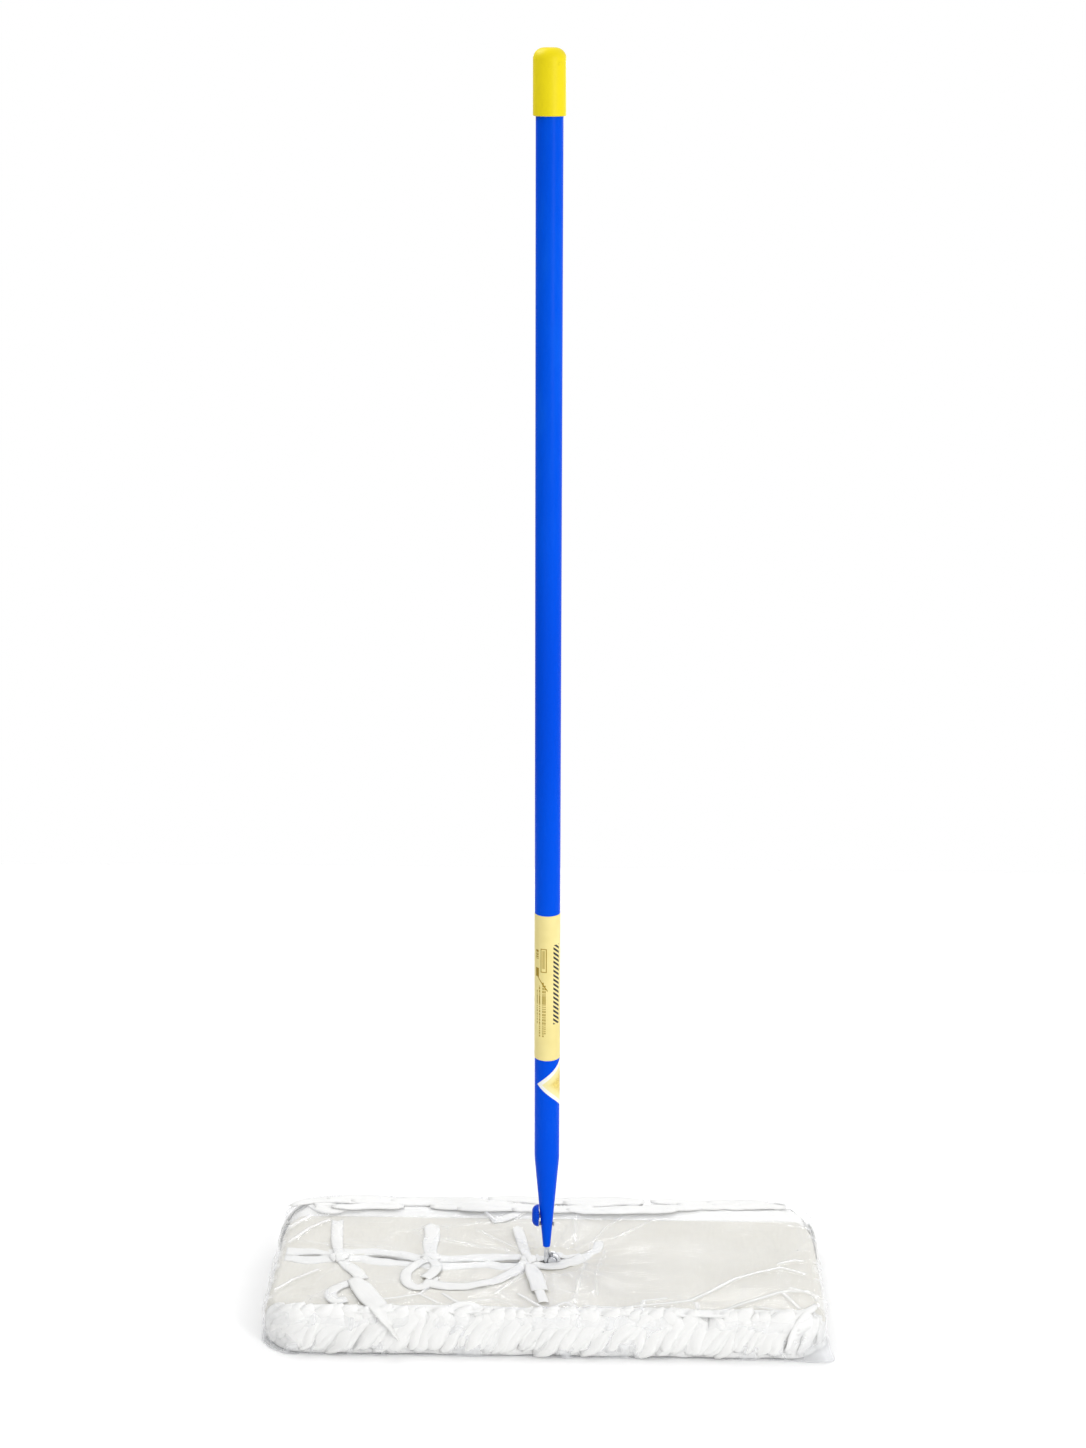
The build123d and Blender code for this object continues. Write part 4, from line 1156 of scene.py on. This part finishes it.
def rim(count):
    """Evenly spaced places round the bag's outline, and their outward ways."""
    half_width = (bag_rear - bag_front) / 2
    middle = (bag_rear + bag_front) / 2
    sx, sy, bend = bag_half_length - bag_corner, half_width - bag_corner, math.pi * bag_corner / 2
    total = 4 * (sx + sy + bend)
    places, ways = [], []
    for run in np.arange(count) / count * total:
        for corner_x, corner_y, start, leg in (
                (sx, -sy, -90, 2 * sx), (sx, sy, 0, 2 * sy), (-sx, sy, 90, 2 * sx), (-sx, -sy, 180, 2 * sy)):
            back = math.radians(start)
            out = np.array((math.cos(back), math.sin(back)))
            way = np.array((-out[1], out[0]))
            if run <= leg:
                places.append(np.array((corner_x, corner_y)) + out * bag_corner - way * (leg - run))
                ways.append(out)
                break
            run -= leg
            if run <= bend:
                angle = back + run / bag_corner
                out = np.array((math.cos(angle), math.sin(angle)))
                places.append(np.array((corner_x, corner_y)) + out * bag_corner)
                ways.append(out)
                break
            run -= bend
    places = np.array(places)
    places[:, 1] += middle
    return places, np.array(ways)


around = 560
top_rings, wall_rings, under_rings = 110, 30, 8
rim_places, rim_ways = rim(around)
hub = np.array((eye_x, 0.0))
bearing = np.arctan2(rim_places[:, 1] - hub[1], rim_places[:, 0] - hub[0])
neck = hub + np.stack([neck_half_length * np.cos(bearing), neck_half_width * np.sin(bearing)], axis=1)
shoulder = 0.010
inner_rim = rim_places - rim_ways * shoulder
rings = []
painted_glint_masks = []


def crumple(x, y, size, seed):
    """Thin sharp ridges where the film has been crushed."""
    ridge = 1 - np.abs(cloth_noise(x, y, size, seed))
    second = 1 - np.abs(cloth_noise(x + 0.3, y * 1.3, size * 0.55, seed + 1))
    return np.clip(ridge - 0.80, 0, 1) * 5 * 0.6 + np.clip(second - 0.86, 0, 1) * 7 * 0.4


def film_top(x, y):
    height = bag_top - 0.0030 + 0.0010 * cloth_noise(x, y, 0.05, 21)
    for knot_x, knot_y in knot_places:
        height = height + 0.0030 * np.exp(-(np.hypot(x - knot_x, y - knot_y) / 0.016) ** 2)
    radial = np.arctan2(y, x - eye_x)
    near_neck = np.exp(-((np.hypot(x - eye_x, y) - 0.035) / 0.040) ** 2)
    height = height + 0.0010 * near_neck * np.sin(radial * 17 + 2 * np.sin(radial * 3))
    crease = np.maximum(crease_height(creases, x, y, 0.0030), 0.30 * crease_height(neck_creases, x, y, 0.0045))
    crush = crumple(x, y, 0.055, 22) * ease((np.hypot(x - 0.14, y - 0.03) - 0.05) / 0.10)
    low = np.minimum(height + 0.0016 * crease + 0.0007 * crush, bag_top) + 0.0030 * ease((y - 0.085) / 0.035)
    # The second value is a painted glint mask: along the creases and crushed ridges, the film's shader turns more
    # opaque white, as painted glints.
    return low, np.maximum(crease, 0.35 * crush)


for ring in range(top_rings):
    share = (ring / (top_rings - 1)) ** 1.05
    places = neck + (inner_rim - neck) * share
    height, painted_glint_mask = film_top(places[:, 0], places[:, 1])
    rings.append(np.concatenate([places, height[:, None]], axis=1))
    painted_glint_masks.append(np.clip(painted_glint_mask, 0, 1))
run_round = np.arange(around) * 0.0028
flare = np.zeros((around, 2))
for corner_x, corner_y, reach, push_x, push_y in (
        (0.268, -0.108, 0.019, 0.020, -0.012), (-0.275, -0.085, 0.060, -0.003, -0.001)):
    near = np.exp(-(np.hypot(rim_places[:, 0] - corner_x, rim_places[:, 1] - corner_y) / reach) ** 2)
    flare += near[:, None] * np.array((push_x, push_y))
wall_turn = 0.35  # share of the wall that bends over the shoulder
for ring in range(1, wall_rings + 1):
    share = ring / wall_rings
    angle = min(share / wall_turn, 1.0) * math.pi / 2
    top_height = rings[top_rings - 1][:, 2]
    out = shoulder * math.sin(angle)
    drop = shoulder * (1 - math.cos(angle))
    below = max(0.0, share - wall_turn) / (1 - wall_turn)
    height = (top_height - drop) * (1 - below) + 0.0008 * below
    fold = crumple(run_round, height * 0.6 + run_round * 0.15, 0.032, 25)
    wave = cloth_noise(run_round, height, 0.020, 26)
    stand_off = out + 0.0012 + 0.0012 * wave + 0.0016 * fold - 0.0012 * math.sin(below * math.pi)
    places = inner_rim + rim_ways * stand_off[:, None]
    places = places + flare * share ** 1.5
    rings.append(np.concatenate([places, height[:, None]], axis=1))
    # Painted glints on the wall: its folds, the flared flap at the corners and the ring at its foot are marked to turn
    # more opaque white in the film.
    flap_glint = np.hypot(*flare.T) / 0.012 * ease((share - 0.45) / 0.45)
    painted_glint_masks.append(np.clip(0.9 * fold + 0.5 * flap_glint + 0.35 * (share > 0.97), 0, 1))
for ring in range(1, under_rings + 1):
    share = ring / under_rings
    places = (rim_places + flare + 0.0012 * rim_ways) * (1 - share * 0.97)
    rings.append(np.concatenate([places, np.full((around, 1), 0.0006)], axis=1))
    painted_glint_masks.append(np.zeros(around))

film_points = np.concatenate(rings)
film_points[:, 2] = np.maximum(film_points[:, 2], 0.0005)
film_faces = []
for start in range(0, (len(rings) - 1) * around, around):
    for step in range(around):
        after = (step + 1) % around
        film_faces.append((start + step, start + around + step, start + around + after, start + after))
bag = piece("clear_bag_film", film_points, film_faces)
# The crease attribute carries the painted glint mask to the film's shader.
folded = bag.data.attributes.new("crease", "FLOAT", "POINT")
folded.data.foreach_set("value", np.concatenate(painted_glint_masks).astype(np.float32))

clear_film, shader = shaded("clear_film", Base_Color=(0.95, 0.96, 0.98, 1), Roughness=0.12, IOR=1.5,
                            Specular_IOR_Level=0.6)
net = Net(clear_film.node_tree)
where = net.place()
held = net.tree.nodes.new("ShaderNodeAttribute")
held.attribute_name = "crease"
painted_reflection_weight = net.tree.nodes.new("ShaderNodeLayerWeight")
painted_reflection_weight.inputs["Blend"].default_value = 0.25
fine_folds = net.noise(net.stretch(where, 1, 1, 0.5), 160.0, 3.0, 0.6)
haze = net.sum("MULTIPLY", net.ramp(net.noise(where, 22.0, 3.0), 0.45, 0.75), 0.06)
body = net.sum("MULTIPLY_ADD", painted_reflection_weight.outputs["Facing"], 0.34, 0.06)
# Painted glints and painted reflection: the white film turns more opaque along the crease attribute and at grazing
# angles, where the real film only reflects; the faint base and the noise haze are the film's own milkiness.
seen = net.sum("ADD", net.sum("MULTIPLY_ADD", held.outputs["Fac"], 0.55, body), haze, clamp=True)
net.join(seen, shader.inputs["Alpha"])
net.join(net.bump(fine_folds, 0.30, 0.0012), shader.inputs["Normal"])
finish_with(bag, clear_film)
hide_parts("clear_bag")
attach(bag, "head")
